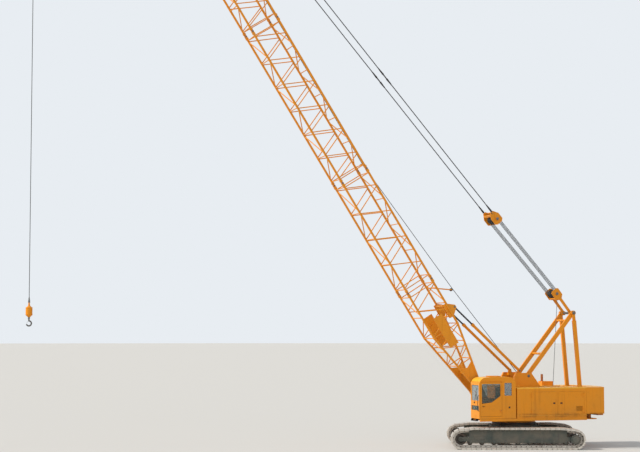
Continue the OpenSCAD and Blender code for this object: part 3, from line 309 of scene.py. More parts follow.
def seat_cloth(name, tone):
    """Woven seat cover, worn paler where it is sat on."""
    cloth = Finish(name, Sheen_Weight=0.3, Specular_IOR_Level=0.2)
    warp = (cloth.part_of(cloth.place, 0) * 2600).math("SINE")
    weft = (cloth.part_of(cloth.place, 1) * 2600).math("SINE")
    weave = warp * weft * 0.5 + 0.5
    wear = cloth.noise(6, 5).above(0.45, 0.7)
    colour = cloth.blend(weave * 0.5, linear(*tone), linear(*(0.55 * t for t in tone)))
    colour = cloth.blend(wear * 0.3, colour, linear(96, 92, 86))
    return cloth.feed(Base_Color=colour, Roughness=0.82 + wear * 0.1, Normal=cloth.bump(weave, 0.0006))


def chequer_plate(name, tone):
    """Painted tread plate, its raised lozenges rubbed bright."""
    plate = Finish(name, Specular_IOR_Level=0.4)
    x, y = plate.part_of(plate.place, 0) * 150, plate.part_of(plate.place, 1) * 150
    lozenge = ((x + y).math("SINE") * (x - y).math("SINE")).above(0.45, 0.7)
    scuffed = plate.noise(5, 6, 0.7).above(0.4, 0.7)
    colour = plate.blend(lozenge * scuffed * 0.7, linear(*tone), linear(150, 146, 138))
    colour = plate.blend(plate.noise(2.4, 6, 0.7).above(0.5, 0.8) * 0.4, colour, linear(132, 116, 92))
    rough = 0.6 - lozenge * 0.2
    return plate.feed(Base_Color=colour, Roughness=rough, Normal=plate.bump(lozenge, 0.003))


def ribbed_rubber(name, tone, spacing=0.02):
    """A mat or bellows with fine ribs across the machine."""
    mat = Finish(name, Specular_IOR_Level=0.3)
    ribs = (mat.part_of(mat.place, 0) * (2 * math.pi / spacing)).math("SINE") * 0.5 + 0.5
    dirt = mat.noise(6, 6, 0.7).above(0.4, 0.75)
    colour = mat.blend(dirt * 0.5, linear(*tone), linear(104, 92, 74))
    return mat.feed(Base_Color=colour, Roughness=0.7 + dirt * 0.2, Normal=mat.bump(ribs, 0.002))


HOOK_ROPE = on_boom(HEAD_SHEAVE[0], 0, HEAD_SHEAVE[1]) + X * (HEAD_SHEAVE_RADIUS + HOIST_ROPE_RADIUS)

PAINT = machine_paint(
    "crane_enamel", (234, 144, 12), (224, 144, 28), dust=0.3, chips=0.69, dirt=(158, 118, 66), sill=1.38
)
BOOM_PAINT = machine_paint("boom_enamel", (236, 148, 16), (224, 146, 36), dust_top=4.0, dust=0.2, chips=0.66)
# A lighter copy of the paint for faces turned to the sky: painted highlight of the light from above.
LIT_TOP_PAINT = machine_paint("painted_highlight_enamel", (247, 176, 40), (240, 180, 70), dust_top=3.4, dust=0.25, chips=0.68)
DARK = machine_paint(
    "chassis_enamel", (62, 70, 64), (88, 94, 84), dust_top=1.9, dust=0.75, chips=0.7, dirt=(126, 114, 100)
)
SHOE = bare_steel("shoe_steel", (204, 196, 184), (138, 100, 80), worn=0.3, dirt=0.3, metallic=0.4)
CHAIN = bare_steel("chain_steel", (78, 74, 68), (92, 62, 44), worn=0.7, dirt=0.7)
PIN = bare_steel("pin_steel", (120, 118, 114), (98, 66, 46), worn=0.3, dirt=0.2, scale=3)
SHEAVE = bare_steel("sheave_steel", (64, 62, 62), (84, 60, 46), worn=0.3, dirt=0.3, scale=2)
ROPE = wire_rope("rope_wire", (104, 106, 106))
STAY = wire_rope("stay_wire", (84, 86, 88), lay_of_pendants, pitch=0.3)
BLACK = dark_plastic("black_rubber", (28, 28, 28))
GREY = dark_plastic("grey_plastic", (92, 94, 96), 0.5, 120)
ENGINE = machine_paint("engine_enamel", (88, 104, 92), (96, 108, 96), dust_top=3.0, dust=0.3, dirt=(60, 54, 46))
TREAD = chequer_plate("tread_plate", (70, 70, 66))
MAT = ribbed_rubber("ribbed_rubber", (34, 34, 34))
STACK = bare_steel("rusty_pipe", (176, 104, 44), (112, 62, 36), worn=0.6, dirt=0.2, metallic=0.2, scale=2)
ROD = bare_steel("rod_black", (38, 38, 40), (60, 48, 40), worn=0.1, dirt=0.1, metallic=0.3)
GLASS = window_glass("cab_glass", (84, 102, 96), 0.36)
# A pale tint for panes seen at a grazing angle: painted reflection of the sky.
SKY_REFLECTION_GLASS = window_glass("painted_sky_reflection_glass", (164, 178, 182), 0.44)
CLOTH = seat_cloth("seat_cloth", (40, 42, 46))
# The gauges' lenses glow faintly though nothing lights them: a painted glow.
GLOWING_LENS = lamp_glass("faintly_glowing_lens", (224, 226, 220), 0.05)
# The record's slot that each finish of a new piece belongs to
SLOT_OF = {
    finish.name: slot
    for slot, finishes in {
        "orange_paint": (PAINT, LIT_TOP_PAINT), "dark_paint": (DARK, ENGINE, TREAD), "worn_steel": (CHAIN,),
        "pin_steel": (PIN, SHEAVE), "rope_steel": (ROPE,), "seat_cover": (CLOTH,),
    }.items()
    for finish in finishes
}


# Modelling


def turned(direction):
    """A rotation that takes +Z to this direction."""
    return Z.rotation_difference(Vector(direction).normalized()).to_matrix().to_4x4()


def rectangle(left, low, right, high):
    """The four corners of a frame or plate."""
    return ((left, low), (right, low), (right, high), (left, high))


def smooth_path(points, steps=6):
    """The points of a rounded path through these places."""
    path = [Vector(p) for p in points]
    path = [path[0] * 2 - path[1], *path, path[-1] * 2 - path[-2]]
    rounded = []
    for a, b, c, d in zip(path, path[1:], path[2:], path[3:]):
        for k in range(steps):
            t = k / steps
            rounded.append(
                (b * 2 + (c - a) * t + (a * 2 - b * 5 + c * 4 - d) * t**2 + (b * 3 - a - c * 3 + d) * t**3) / 2
            )
    return rounded + [path[-2]]


def edges_of(verts):
    """The edges at these vertices, always in the same order."""
    return list(dict.fromkeys(edge for vert in verts for edge in vert.link_edges))


def only_verts(made):
    """The vertices among what an operator made."""
    return [part for part in made if isinstance(part, bmesh.types.BMVert)]


class Form:
    """A mesh under construction, to which shapes are added in the crane's own places."""

    def __init__(self, place=None):
        self.mesh = bmesh.new()
        self.place = place or Matrix.Identity(4)

    def block(self, corner, other, round_edges=0.0, segments=2, turn=None):
        """A block between two corners, its edges rounded; turn is a matrix about its middle."""
        corner, other = Vector(corner), Vector(other)
        middle = Matrix.Translation((corner + other) / 2)
        size = Matrix.Diagonal((*(abs(c) for c in other - corner), 1))
        made = bmesh.ops.create_cube(self.mesh, size=1, matrix=self.place @ middle @ (turn or Matrix()) @ size)
        self.soften(made["verts"], round_edges, segments)
        return self

    def soften(self, verts, offset, segments=2):
        if offset:
            self.bevel(edges_of(verts), offset, segments)

    def bevel(self, edges, offset, segments=2):
        bmesh.ops.bevel(
            self.mesh, geom=edges, offset=offset, segments=segments, profile=0.5, affect="EDGES", material=-1
        )

    def rod(self, start, end, radius, sides=16, tip=None, round_edges=0.0):
        """A round bar between two points, tapered to the radius tip where one is given."""
        start, end = Vector(start), Vector(end)
        middle = Matrix.Translation((start + end) / 2) @ turned(end - start)
        made = bmesh.ops.create_cone(
            self.mesh, cap_ends=True, segments=sides, radius1=radius, radius2=radius if tip is None else tip,
            depth=(end - start).length, matrix=self.place @ middle,
        )
        if round_edges:
            rims = [e for e in edges_of(made["verts"]) if any(len(f.verts) > 4 for f in e.link_faces)]
            self.bevel(rims, round_edges)
        return self

    def bolt(self, at, direction, radius=0.016, head=0.012):
        """A hexagon head on a washer."""
        at, direction = Vector(at), Vector(direction).normalized()
        self.rod(at, at + direction * head * 0.3, radius * 1.35, 12)
        return self.rod(at + direction * head * 0.3, at + direction * head * 1.3, radius, 6)

    def bolt_circle(self, centre, direction, circle, count, radius=0.012, head=0.01):
        """Bolts evenly round a circle that faces this direction."""
        facing = turned(direction)
        for k in range(count):
            turn = 2 * math.pi * (k + 0.5) / count
            spot = Vector(centre) + facing @ Vector((circle * math.cos(turn), circle * math.sin(turn), 0))
            self.bolt(spot, direction, radius, head)
        return self

    def pin_head(self, at, direction, radius, thick=0.014):
        """The rounded head of a pin with its split pin across it."""
        at, direction = Vector(at), Vector(direction).normalized()
        self.rod(at, at + direction * thick, radius, 20, round_edges=thick * 0.3)
        aside = turned(direction) @ X * radius * 0.72
        middle = at + direction * (thick + 0.006)
        self.rod(at + direction * thick * 0.8, at + direction * (thick + 0.014), radius * 0.5, 16)
        return self.rod(middle - aside, middle + aside, 0.0035, 6)

    def lathe(self, profile, at, axis, steps=32):
        """Points of (radius, height) turned about an axis through at, closed where the radius is 0."""
        seat = self.place @ Matrix.Translation(at) @ turned(axis)
        verts = [self.mesh.verts.new(seat @ Vector((max(r, 1e-5), 0, h))) for r, h in profile]
        edges = [self.mesh.edges.new(pair) for pair in zip(verts, verts[1:])]
        before = set(self.mesh.verts) - set(verts)
        bmesh.ops.spin(
            self.mesh, geom=verts + edges, cent=seat.translation, axis=(seat.to_3x3() @ Z).normalized(),
            angle=2 * math.pi, steps=steps, use_merge=True, use_duplicate=False,
        )
        made = [v for v in self.mesh.verts if v not in before]
        bmesh.ops.remove_doubles(self.mesh, verts=made, dist=1e-4)
        return self

    def outline(self, points, at, normal):
        """One face with these corners, given in the two directions other than its normal."""
        def lifted(u, w):
            return {"X": Vector((0, u, w)), "Y": Vector((u, 0, w)), "Z": Vector((u, w, 0))}[normal]

        verts = [self.mesh.verts.new(self.place @ (Vector(at) + lifted(*p))) for p in points]
        return self.mesh.faces.new(verts)

    def plate(self, points, thickness, at=(0, 0, 0), normal="Y", round_edges=0.0):
        """A flat outline, thickened evenly to both sides."""
        step = {"X": X, "Y": Y, "Z": Z}[normal] * thickness
        face = self.outline(points, Vector(at) - step / 2, normal)
        moved = only_verts(bmesh.ops.extrude_face_region(self.mesh, geom=[face])["geom"])
        bmesh.ops.translate(self.mesh, verts=moved, vec=self.place.to_3x3() @ step)
        self.soften(list(face.verts) + moved if face.is_valid else moved, round_edges)
        return self

    def frame(self, points, width, thickness, at, normal, round_edges=0.0):
        """A flat frame of this width inside an outline, its middle plane through at."""
        face = self.outline(points, at, normal)
        ring = bmesh.ops.inset_region(
            self.mesh, faces=[face], thickness=width, use_boundary=True, use_even_offset=True
        )["faces"]
        bmesh.ops.delete(self.mesh, geom=[face], context="FACES_ONLY")
        solid = bmesh.ops.solidify(self.mesh, geom=ring, thickness=thickness)["geom"]
        verts = list(dict.fromkeys([v for f in ring for v in f.verts] + only_verts(solid)))
        facing = self.place.to_3x3() @ {"X": X, "Y": Y, "Z": Z}[normal]
        plane = self.place @ Vector(at)
        offset = sum((v.co - plane).dot(facing) for v in verts) / len(verts)
        bmesh.ops.translate(self.mesh, verts=verts, vec=facing * -offset)
        self.soften(verts, round_edges, 1)
        return self

    def tube(self, points, radius, sides=10, closed=False):
        """A bent tube along points, its rings square to the path."""
        path = [Vector(p) for p in points]
        count = len(path)
        rings, facing = [], None
        for i, point in enumerate(path):
            before = path[i - 1] if i or closed else point
            after = path[(i + 1) % count] if i + 1 < count or closed else point
            along = (after - before).normalized()
            side = facing or (X if abs(along.x) < 0.9 else Y)
            facing = (side - along * side.dot(along)).normalized()
            seat = Matrix((facing, along.cross(facing), along)).transposed().to_4x4()
            ring = bmesh.ops.create_circle(
                self.mesh, cap_ends=False, segments=sides, radius=radius,
                matrix=self.place @ Matrix.Translation(point) @ seat,
            )["verts"]
            rings.append(edges_of(ring))
        for a, b in zip(rings, rings[1:]):
            bmesh.ops.bridge_loops(self.mesh, edges=a + b)
        if closed:
            bmesh.ops.bridge_loops(self.mesh, edges=rings[-1] + rings[0])
        else:
            bmesh.ops.edgeloop_fill(self.mesh, edges=rings[0])
            bmesh.ops.edgeloop_fill(self.mesh, edges=rings[-1])
        return self

    def mirrored(self):
        """Adds the same shapes on the other side of the upperworks."""
        both = bmesh.ops.duplicate(self.mesh, geom=self.mesh.verts[:] + self.mesh.edges[:] + self.mesh.faces[:])
        bmesh.ops.transform(self.mesh, matrix=Matrix.Diagonal((1, -1, 1, 1)), verts=only_verts(both["geom"]))
        return self

    def add(self, name, body, material, smooth=True):
        """Makes the piece in its finish, lets it ride on a body of the crane and returns it."""
        data = bpy.data.meshes.new(name)
        bmesh.ops.recalc_face_normals(self.mesh, faces=self.mesh.faces[:])
        self.mesh.to_mesh(data)
        self.mesh.free()
        piece = bpy.data.objects.new(name, data)
        bpy.context.scene.collection.objects.link(piece)
        data.materials.append(material)
        if smooth:
            data.shade_smooth()
            data.set_sharp_from_angle(angle=math.radians(35))
        if body:
            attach(piece, body)
        material.name in SLOT_OF
        return piece


def rope_piece(name, path, radius, body=None, between=None, sides=8, beside=()):
    """A taut rope along a path, with its UV map: once round it in u, metres along it in v."""
    path = [Vector(p) for p in path]
    form = Form().tube(path, radius, sides)
    once = form.mesh.verts[:] + form.mesh.edges[:] + form.mesh.faces[:]
    for step in beside:
        copy = bmesh.ops.duplicate(form.mesh, geom=once)["geom"]
        bmesh.ops.translate(form.mesh, verts=only_verts(copy), vec=Y * step)
    piece = form.add(name, body, ROPE)
    run = [0.0]
    for a, b in zip(path, path[1:]):
        run.append(run[-1] + (b - a).length)
    layer = piece.data.uv_layers.new(name="lay")
    for face in piece.data.polygons:
        steps = [piece.data.loops[i].vertex_index % sides for i in face.loop_indices]
        over_seam = 0 in steps and sides - 1 in steps
        for i, step in zip(face.loop_indices, steps):
            ring = piece.data.loops[i].vertex_index // sides % len(path)
            turn = sides if over_seam and step == 0 else step
            layer.data[i].uv = (turn / sides, run[ring])
    if between:
        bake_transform(piece)
    return piece


def tangent(first, first_r, second, second_r, side):
    """The ends of a rope between two sheaves, on their left as it runs; a minus radius is on their right."""
    reach = Vector((second.x - first.x, second.z - first.z))
    along = reach.normalized()
    share = (first_r - second_r) / reach.length
    square = math.sqrt(1 - share * share)
    normal = Vector((along.x * share - along.y * square, 0, along.y * share + along.x * square))
    return [
        Vector((first.x, side, first.z)) + normal * first_r, Vector((second.x, side, second.z)) + normal * second_r
    ]


def arc(centre, start, end, side, clockwise=True, steps=12):
    """A rope's path round a sheave from one point on it to another, as seen from the right of the crane."""
    centre = Vector((centre.x, side, centre.z))
    a, b = start - centre, end - centre
    turn = math.atan2(b.z, b.x) - math.atan2(a.z, a.x)
    turn = turn % (2 * math.pi) - (2 * math.pi if clockwise else 0)
    return [centre + Matrix.Rotation(-turn * k / steps, 3, "Y") @ a for k in range(steps + 1)]


def coil(name, centre, radius, half_width, rope_radius):
    """Rope wound once across a drum, turn beside turn."""
    turns = int(2 * half_width / (2.05 * rope_radius))
    circle = []
    for k in range(25):
        t = 2 * math.pi * k / 24
        circle.append(centre + Vector((math.cos(t), 0, math.sin(t))) * radius)
    reach = half_width - rope_radius
    places = [reach * (2 * k / (turns - 1) - 1) for k in range(turns)]
    path = [point + Y * places[0] for point in circle]
    rope_piece(name, path, rope_radius, "upper", beside=[place - places[0] for place in places[1:]])


# Camera, floor and light


def set_camera():
    """The photograph's place of sight, found from the boom's chords, the tracks and the horizon."""
    reach, turn, eye_height, focal, axis_pixel, horizon = 66.0, math.radians(23), 4.75, 23.6 * 66, 513, 332
    tilt = math.atan((horizon - 226) / focal)
    yaw = math.atan2(axis_pixel - 320, focal / math.cos(tilt))
    ahead = Vector((-math.sin(turn), -math.cos(turn), 0))
    right = Vector((-math.cos(turn), math.sin(turn), 0))
    ahead_level = ahead * math.cos(yaw) - right * math.sin(yaw)
    right_level = right * math.cos(yaw) + ahead * math.sin(yaw)
    forward = ahead_level * math.cos(tilt) + Z * math.sin(tilt)
    up = Z * math.cos(tilt) - ahead_level * math.sin(tilt)
    data = bpy.data.cameras.new("camera")
    data.sensor_width = 36
    data.lens = focal * 36 / 640
    data.clip_end = 2000
    camera = bpy.data.objects.new("camera", data)
    spot = Vector((reach * math.sin(turn), reach * math.cos(turn), eye_height))
    rows = Matrix((right_level, up, -forward)).transposed().to_4x4()
    camera.matrix_world = Matrix.Translation(spot) @ rows
    bpy.context.scene.collection.objects.link(camera)
    bpy.context.scene.camera = camera


def set_floor():
    """A wide pale floor that meets the backdrop at the horizon."""
    floor = Form()
    bmesh.ops.create_circle(floor.mesh, cap_ends=True, segments=64, radius=600)
    bmesh.ops.translate(floor.mesh, verts=floor.mesh.verts[:], vec=(0, 0, -0.002))
    data = bpy.data.materials.new("pale_floor")
    data.use_nodes = True
    shader = data.node_tree.nodes["Principled BSDF"]
    shader.inputs["Base Color"].default_value = linear(206, 203, 197)
    shader.inputs["Roughness"].default_value = 0.9
    floor.add("floor", None, data, smooth=False)


def set_light():
    world = bpy.data.worlds.new("studio")
    bpy.context.scene.world = world
    world.use_nodes = True
    nodes, links = world.node_tree.nodes, world.node_tree.links
    nodes.clear()
    out = nodes.new("ShaderNodeOutputWorld")
    fill, backdrop = nodes.new("ShaderNodeBackground"), nodes.new("ShaderNodeBackground")
    fill.inputs["Color"].default_value = (0.86, 0.92, 1.0, 1)
    fill.inputs["Strength"].default_value = 0.5
    backdrop.inputs["Color"].default_value = linear(232, 237, 242)
    backdrop.inputs["Strength"].default_value = 1.0
    path, mix = nodes.new("ShaderNodeLightPath"), nodes.new("ShaderNodeMixShader")
    seen = path.outputs["Is Camera Ray"]
    for ray in ("Is Glossy Ray", "Is Transmission Ray"):
        either = nodes.new("ShaderNodeMath")
        either.operation = "MAXIMUM"
        links.new(seen, either.inputs[0])
        links.new(path.outputs[ray], either.inputs[1])
        seen = either.outputs[0]
    links.new(seen, mix.inputs[0])
    links.new(fill.outputs[0], mix.inputs[1])
    links.new(backdrop.outputs[0], mix.inputs[2])
    links.new(mix.outputs[0], out.inputs[0])
    for name, toward, strength, spread, tint in (
        ("key", Vector((0.84, -0.12, 0.7)), 3.1, 8, (1.0, 0.96, 0.9)),
        ("fill", Vector((0.15, 0.95, 0.45)), 0.6, 40, (0.97, 0.98, 1.0)),
    ):
        data = bpy.data.lights.new(name, "SUN")
        data.energy, data.angle, data.color = strength, math.radians(spread), tint
        lamp = bpy.data.objects.new(name, data)
        lamp.rotation_mode = "QUATERNION"
        lamp.rotation_quaternion = Z.rotation_difference(toward.normalized())
        bpy.context.scene.collection.objects.link(lamp)
    bpy.context.scene.view_settings.view_transform = "Standard"


# The frame's own finishes

SLOT_FINISH = {
    "orange_paint": PAINT, "dark_paint": DARK, "worn_steel": SHOE, "rope_steel": STAY, "black_steel": ROD,
    "pin_steel": PIN, "cab_glass": GLASS, "seat_cover": CLOTH,
}
NODE_FINISH = {
    "winch_drums": SHEAVE, "idlers": CHAIN, "sprockets": CHAIN, "rollers": CHAIN, "head_sheaves": SHEAVE,
    "slew_ring_lower": CHAIN, "slew_ring_upper": PAINT, "hook_weight": PAINT, "engine_block": ENGINE,
    "hoist_rope": ROPE, "backstop_rods": ROD,
}
SECTION_JOINTS = (5.75, 11.0, 18.1, 23.5, 28.9)
ROPE_ROLLERS = ((4.81, 1.266, 0.06), (11.19, 0.666, 0.04), (31.9, 0.666, 0.04))


def paint_frame():
    slots = {part["node"]: part["material_slot"] for part in frame["record"]["subparts"]}
    for name, node in frame["nodes"].items():
        finish = NODE_FINISH.get(name, SLOT_FINISH[slots[name]])
        if name.startswith("boom_") and slots[name] == "orange_paint":
            finish = BOOM_PAINT
        for place in node.material_slots:
            place.material = finish
        if not node.material_slots:
            node.data.materials.append(finish)


def repaint(name, finish, centre, radius, half_width, side=0.0):
    """Gives another finish to what a node has about a shaft across the machine, such as its sheaves."""
    node = frame["nodes"][name]
    node.data.materials.append(finish)
    for face in node.data.polygons:
        off = face.center - centre
        if math.hypot(off.x, off.z) < radius and abs(off.y - side) < half_width:
            face.material_index = len(node.data.materials) - 1


def paint_sky_reflection():
    """The windscreen and the pane behind the door get a pale tint: a painted reflection of the sky."""
    node = frame["nodes"]["cab_glass"]
    node.data.materials.append(SKY_REFLECTION_GLASS)
    for face in node.data.polygons:
        windscreen = face.center.x > CAB_FRONT - 0.05 and face.center.z > 1.9
        if windscreen or (face.center.y > CAB_LEFT - 0.05 and face.center.x < 1.15):
            face.material_index = len(node.data.materials) - 1


def paint_lit_tops():
    """Painted highlight: a lighter copy of the paint on what faces the sky, the roofs and the counterweight's top."""
    for name in ("house_roof", "counterweight", "cab_shell"):
        node = frame["nodes"][name]
        node.data.materials.append(LIT_TOP_PAINT)
        for face in node.data.polygons:
            if face.normal.z > 0.35 and face.center.z > 2.3:
                face.material_index = len(node.data.materials) - 1


def paint_sheaves():
    repaint("luffing_spreader", SHEAVE, SPREADER, 0.185, 0.28)
    repaint("bridle", SHEAVE, on_boom(BRIDLE[0], 0, BRIDLE[1]), 0.2, 0.3)
    for node, (along, back, radius) in zip(("boom_base", "boom_insert_2", "boom_top"), ROPE_ROLLERS):
        repaint(node, SHEAVE, on_boom(along, 0, back), radius + 0.008, 0.046, HOIST_SIDE)


# Undercarriage


def at_track(side):
    """The middle of one track, turned with the undercarriage."""
    return TRACK_FRAME @ Matrix.Translation((0, side * TRACK_OFFSET, 0))


def chain_joints():
    """Where the chain's joints lie in the plane of a track, each with its outward direction."""
    ends = [(2.315, 0.41, 0.345), (1.75, 0.615, 0.2), (-1.75, 0.615, 0.2), (-2.315, 0.41, 0.345)]
    facing, runs = [], []
    for (x1, z1, r1), (x2, z2, r2) in zip(ends, ends[1:] + ends[:1]):
        gap = math.hypot(x2 - x1, z2 - z1)
        facing.append(math.atan2(z2 - z1, x2 - x1) - math.acos((r1 - r2) / gap))
        runs.append(math.sqrt(gap * gap - (r1 - r2) ** 2))
    bends = [r * ((facing[i] - facing[i - 1]) % (2 * math.pi)) for i, (x, z, r) in enumerate(ends)]
    pitch = (sum(bends) + sum(runs)) / CHAIN_LINKS
    joints = []
    for k in range(CHAIN_LINKS):
        left, i = k * pitch, 0
        while i < 3 and left > bends[i] + runs[i]:
            left -= bends[i] + runs[i]
            i += 1
        x, z, r = ends[i]
        bent = min(left, bends[i])
        turn = facing[i - 1] + bent / r
        out = Vector((math.cos(turn), 0, math.sin(turn)))
        joints.append((Vector((x, 0, z)) + out * r + Vector((-out.z, 0, out.x)) * (left - bent), out))
    return joints


def track_fittings(side, name):
    """Chain pins, roller bearings, adjuster cover, shaft ends, and the bolts of one track."""
    place = at_track(side)
    pins, bearings, bolts = Form(place), Form(place), Form(place)
    for joint, out in chain_joints():
        for face in (-1, 1):
            at = joint - out * 0.0475
            pins.rod(at + Y * face * 0.109, at + Y * face * 0.122, 0.02, 8)
    for face in (-1, 1):
        y, out = face * 0.16, Y * face
        for k in range(9):
            x = 3.852 * (k / 8 - 0.5)
            bearings.block((x - 0.048, y, 0.232), (x + 0.048, y + face * 0.016, 0.352), 0.005)
            bearings.rod((x, y + face * 0.016, 0.265), (x, y + face * 0.03, 0.265), 0.03, round_edges=0.004)
            for step in (-0.028, 0.028):
                bolts.bolt((x + step, y + face * 0.016, 0.326), out, 0.01, 0.01)
        # Lock plate over the idler's shaft
        x, z = END_SHAFT
        bearings.block((x - 0.08, y, z + 0.046), (x + 0.08, y + face * 0.014, z + 0.082), 0.003)
        bearings.rod((x, face * 0.175, z), (x, face * 0.186, z), 0.034, 24, round_edges=0.003)
        for step in (-0.058, 0.058):
            bolts.bolt((x + step, y + face * 0.014, z + 0.064), out, 0.01, 0.01)
    # Cover of the track adjuster, with its grease nipple, and a round inspection cover
    y, out = side * 0.16, Y * side
    bearings.block((1.3, y, 0.392), (1.74, y + side * 0.012, 0.512), 0.006)
    for x in (1.325, 1.455, 1.585, 1.715):
        for z in (0.41, 0.494):
            bolts.bolt((x, y + side * 0.012, z), out, 0.009, 0.008)
    bolts.rod((1.52, y + side * 0.012, 0.452), (1.52, y + side * 0.034, 0.452), 0.007, 8, tip=0.004)
    bearings.lathe(((0, 0.014), (0.06, 0.014), (0.068, 0.008), (0.068, 0)), (-1.56, y, 0.452), out, 32)
    bolts.bolt_circle((-1.56, y + side * 0.012, 0.452), out, 0.052, 6, 0.007, 0.007)
    # Drive: bolts of the outer cover and of the motor's housing, and its flange
    x, z = -END_SHAFT[0], END_SHAFT[1]
    bolts.bolt_circle((x, side * 0.32, z), out, 0.162, 12, 0.011, 0.01)
    bolts.bolt_circle((x, side * 0.379, z), out, 0.092, 8, 0.01, 0.009)
    bolts.bolt_circle((x, side * -0.535, z), out * -1, 0.142, 10, 0.01, 0.009)
    bearings.lathe(((0.17, -0.01), (0.184, -0.01), (0.184, 0.01), (0.17, 0.01)), (x, side * -0.42, z), Y, 40)
    pins.add(f"chain_pins_{name}", "undercarriage", CHAIN)
    bearings.add(f"roller_bearings_{name}", "undercarriage", DARK)
    bolts.add(f"track_bolts_{name}", "undercarriage", PIN, smooth=False)


def motor_pipes():
    """Two steel pipes from each travel motor to the back of the car body."""
    pipes, unions = Form(TRACK_FRAME), Form(TRACK_FRAME)
    for side in (-1, 1):
        for step in (-0.028, 0.028):
            path = [
                (-2.315 + step, side * 1.17, 0.44), (-2.3 + step, side * 1.09, 0.47),
                (-2.12 + step, side * 0.92, 0.62 + step), (-1.7, side * (0.64 - step), 0.7 + step),
                (-1.25, side * (0.42 - step), 0.68 + step), (-1.000, side * (0.4 - step), 0.67 + step),
            ]
            pipes.tube(smooth_path(path), 0.014, 8)
            for end, way in ((path[0], Vector((0, side, 0))), (path[-1], Vector((-1, 0, 0)))):
                unions.rod(end, Vector(end) - way * (0.04 if way.y else -0.04), 0.021, 6)
    pipes.add("motor_pipes", "undercarriage", PIN)
    unions.add("motor_pipe_unions", "undercarriage", PIN, smooth=False)


def car_body_fittings():
    """Flanges of the cross beams, lifting eyes, the ring's bolts and seal, and the swivel's cover."""
    flanges, bolts = Form(TRACK_FRAME), Form(TRACK_FRAME)
    for side in (-1, 1):
        for x in (-0.93, 0.93):
            flanges.block((x - 0.235, side * 1.572, 0.386), (x + 0.235, side * 1.602, 0.584), 0.006)
            for step in (-0.205, 0.205):
                for z in (0.42, 0.485, 0.55):
                    bolts.bolt((x + step, side * 1.572, z), Y * -side, 0.015, 0.012)
        for x in (-1, 1):
            lifting_eye(flanges, Vector((x * 0.79, side * 0.76, 0.913)), Vector((x, -side, 0)), 0.06)
            flanges.block((x * 1.000, side * 0.15, 0.56), (x * 1.1, side * 0.11, 0.7), 0.012)
            flanges.rod((x * 1.06, -0.155, 0.63), (x * 1.06, 0.155, 0.63), 0.02, 16)
    bolts.bolt_circle((0, 0, 1.0103), Z, 0.895, 40, 0.0085, 0.009)
    flanges.add("beam_flanges", "undercarriage", DARK)
    bolts.add("car_body_bolts", "undercarriage", PIN, smooth=False)
    seal = Form().lathe(((0.8815, 0), (0.8835, 0.012), (0.8865, 0.012), (0.887, 0)), (0, 0, 1.0103), Z, 96)
    seal.add("ring_seal", "undercarriage", BLACK)


def lifting_eye(form, at, along, size):
    """A ring of round bar that stands on a foot and lies along a direction."""
    along = along.normalized()
    turns = [2 * math.pi * k / 16 for k in range(16)]
    middle = at + Z * size * 1.1
    form.tube([middle + (along * math.cos(t) + Z * math.sin(t)) * size * 0.75 for t in turns], size * 0.2, 8, True)
    form.rod(at, at + Z * size * 0.36, size * 0.42, 16, round_edges=0.004)


# Deck and house


def deck_fittings():
    Form().block((0.62, -0.98, 1.16), (1.47, -0.65, 1.165), 0.001, 1).add(
        "deck_tread_plate", "upper", TREAD
    )
    step = Form()
    for y in (0.8, 1.3):
        step.plate(((2.08, 1.236), (2.2, 1.236), (2.235, 1.15), (2.12, 1.136)), 0.01, (0, y, 0))
    for x in (2.135, 2.175, 2.215):
        step.rod((x, 0.796, 1.152), (x, 1.304, 1.152), 0.01, 10)
    step.block((2.12, 0.796, 1.139), (2.234, 1.304, 1.145), 0.002)
    step.add("cab_front_step", "upper", BLACK)
    keepers, bolts = Form(), Form()
    keepers.block((1.225, 0.59, 1.796), (1.395, 0.6, 1.826), 0.003)
    keepers.pin_head((1.31, 0.615, 1.75), Y, 0.05, 0.008)
    keepers.pin_head((1.31, 0.425, 1.75), -Y, 0.05, 0.008)
    for x in (1.245, 1.375):
        bolts.bolt((x, 0.6, 1.811), Y, 0.01, 0.01)
    # Bolts of the girders' flanges under the winch plates
    for k in range(9):
        bolts.bolt((-1.84 + 0.185 * k, 0.56, 1.46), Z, 0.012, 0.011)
    keepers.mirrored().add("foot_pin_keepers", "upper", PAINT)
    bolts.mirrored().add("deck_bolts", "upper", PIN, smooth=False)
    # Slewing drive between the girders: gearbox below, motor on top
    drive = Form().lathe((
        (0, 0.7), (0.06, 0.7), (0.075, 0.69), (0.085, 0.54), (0.085, 0.44), (0.15, 0.43), (0.15, 0.4),
        (0.125, 0.39), (0.125, 0.3), (0.16, 0.29), (0.16, 0.255), (0.135, 0.245), (0.135, 0.06),
        (0.185, 0.05), (0.19, 0.04), (0.19, 0),
    ), (0.52, 0, 1.16), Z, 40)
    drive.add("slewing_drive", "upper", ENGINE)
    ring = Form().bolt_circle((0.52, 0, 1.2), Z, 0.166, 12, 0.01, 0.01)
    ring.bolt_circle((0.52, 0, 1.59), Z, 0.135, 10, 0.008, 0.008)
    ring.add("slewing_drive_bolts", "upper", PIN, smooth=False)


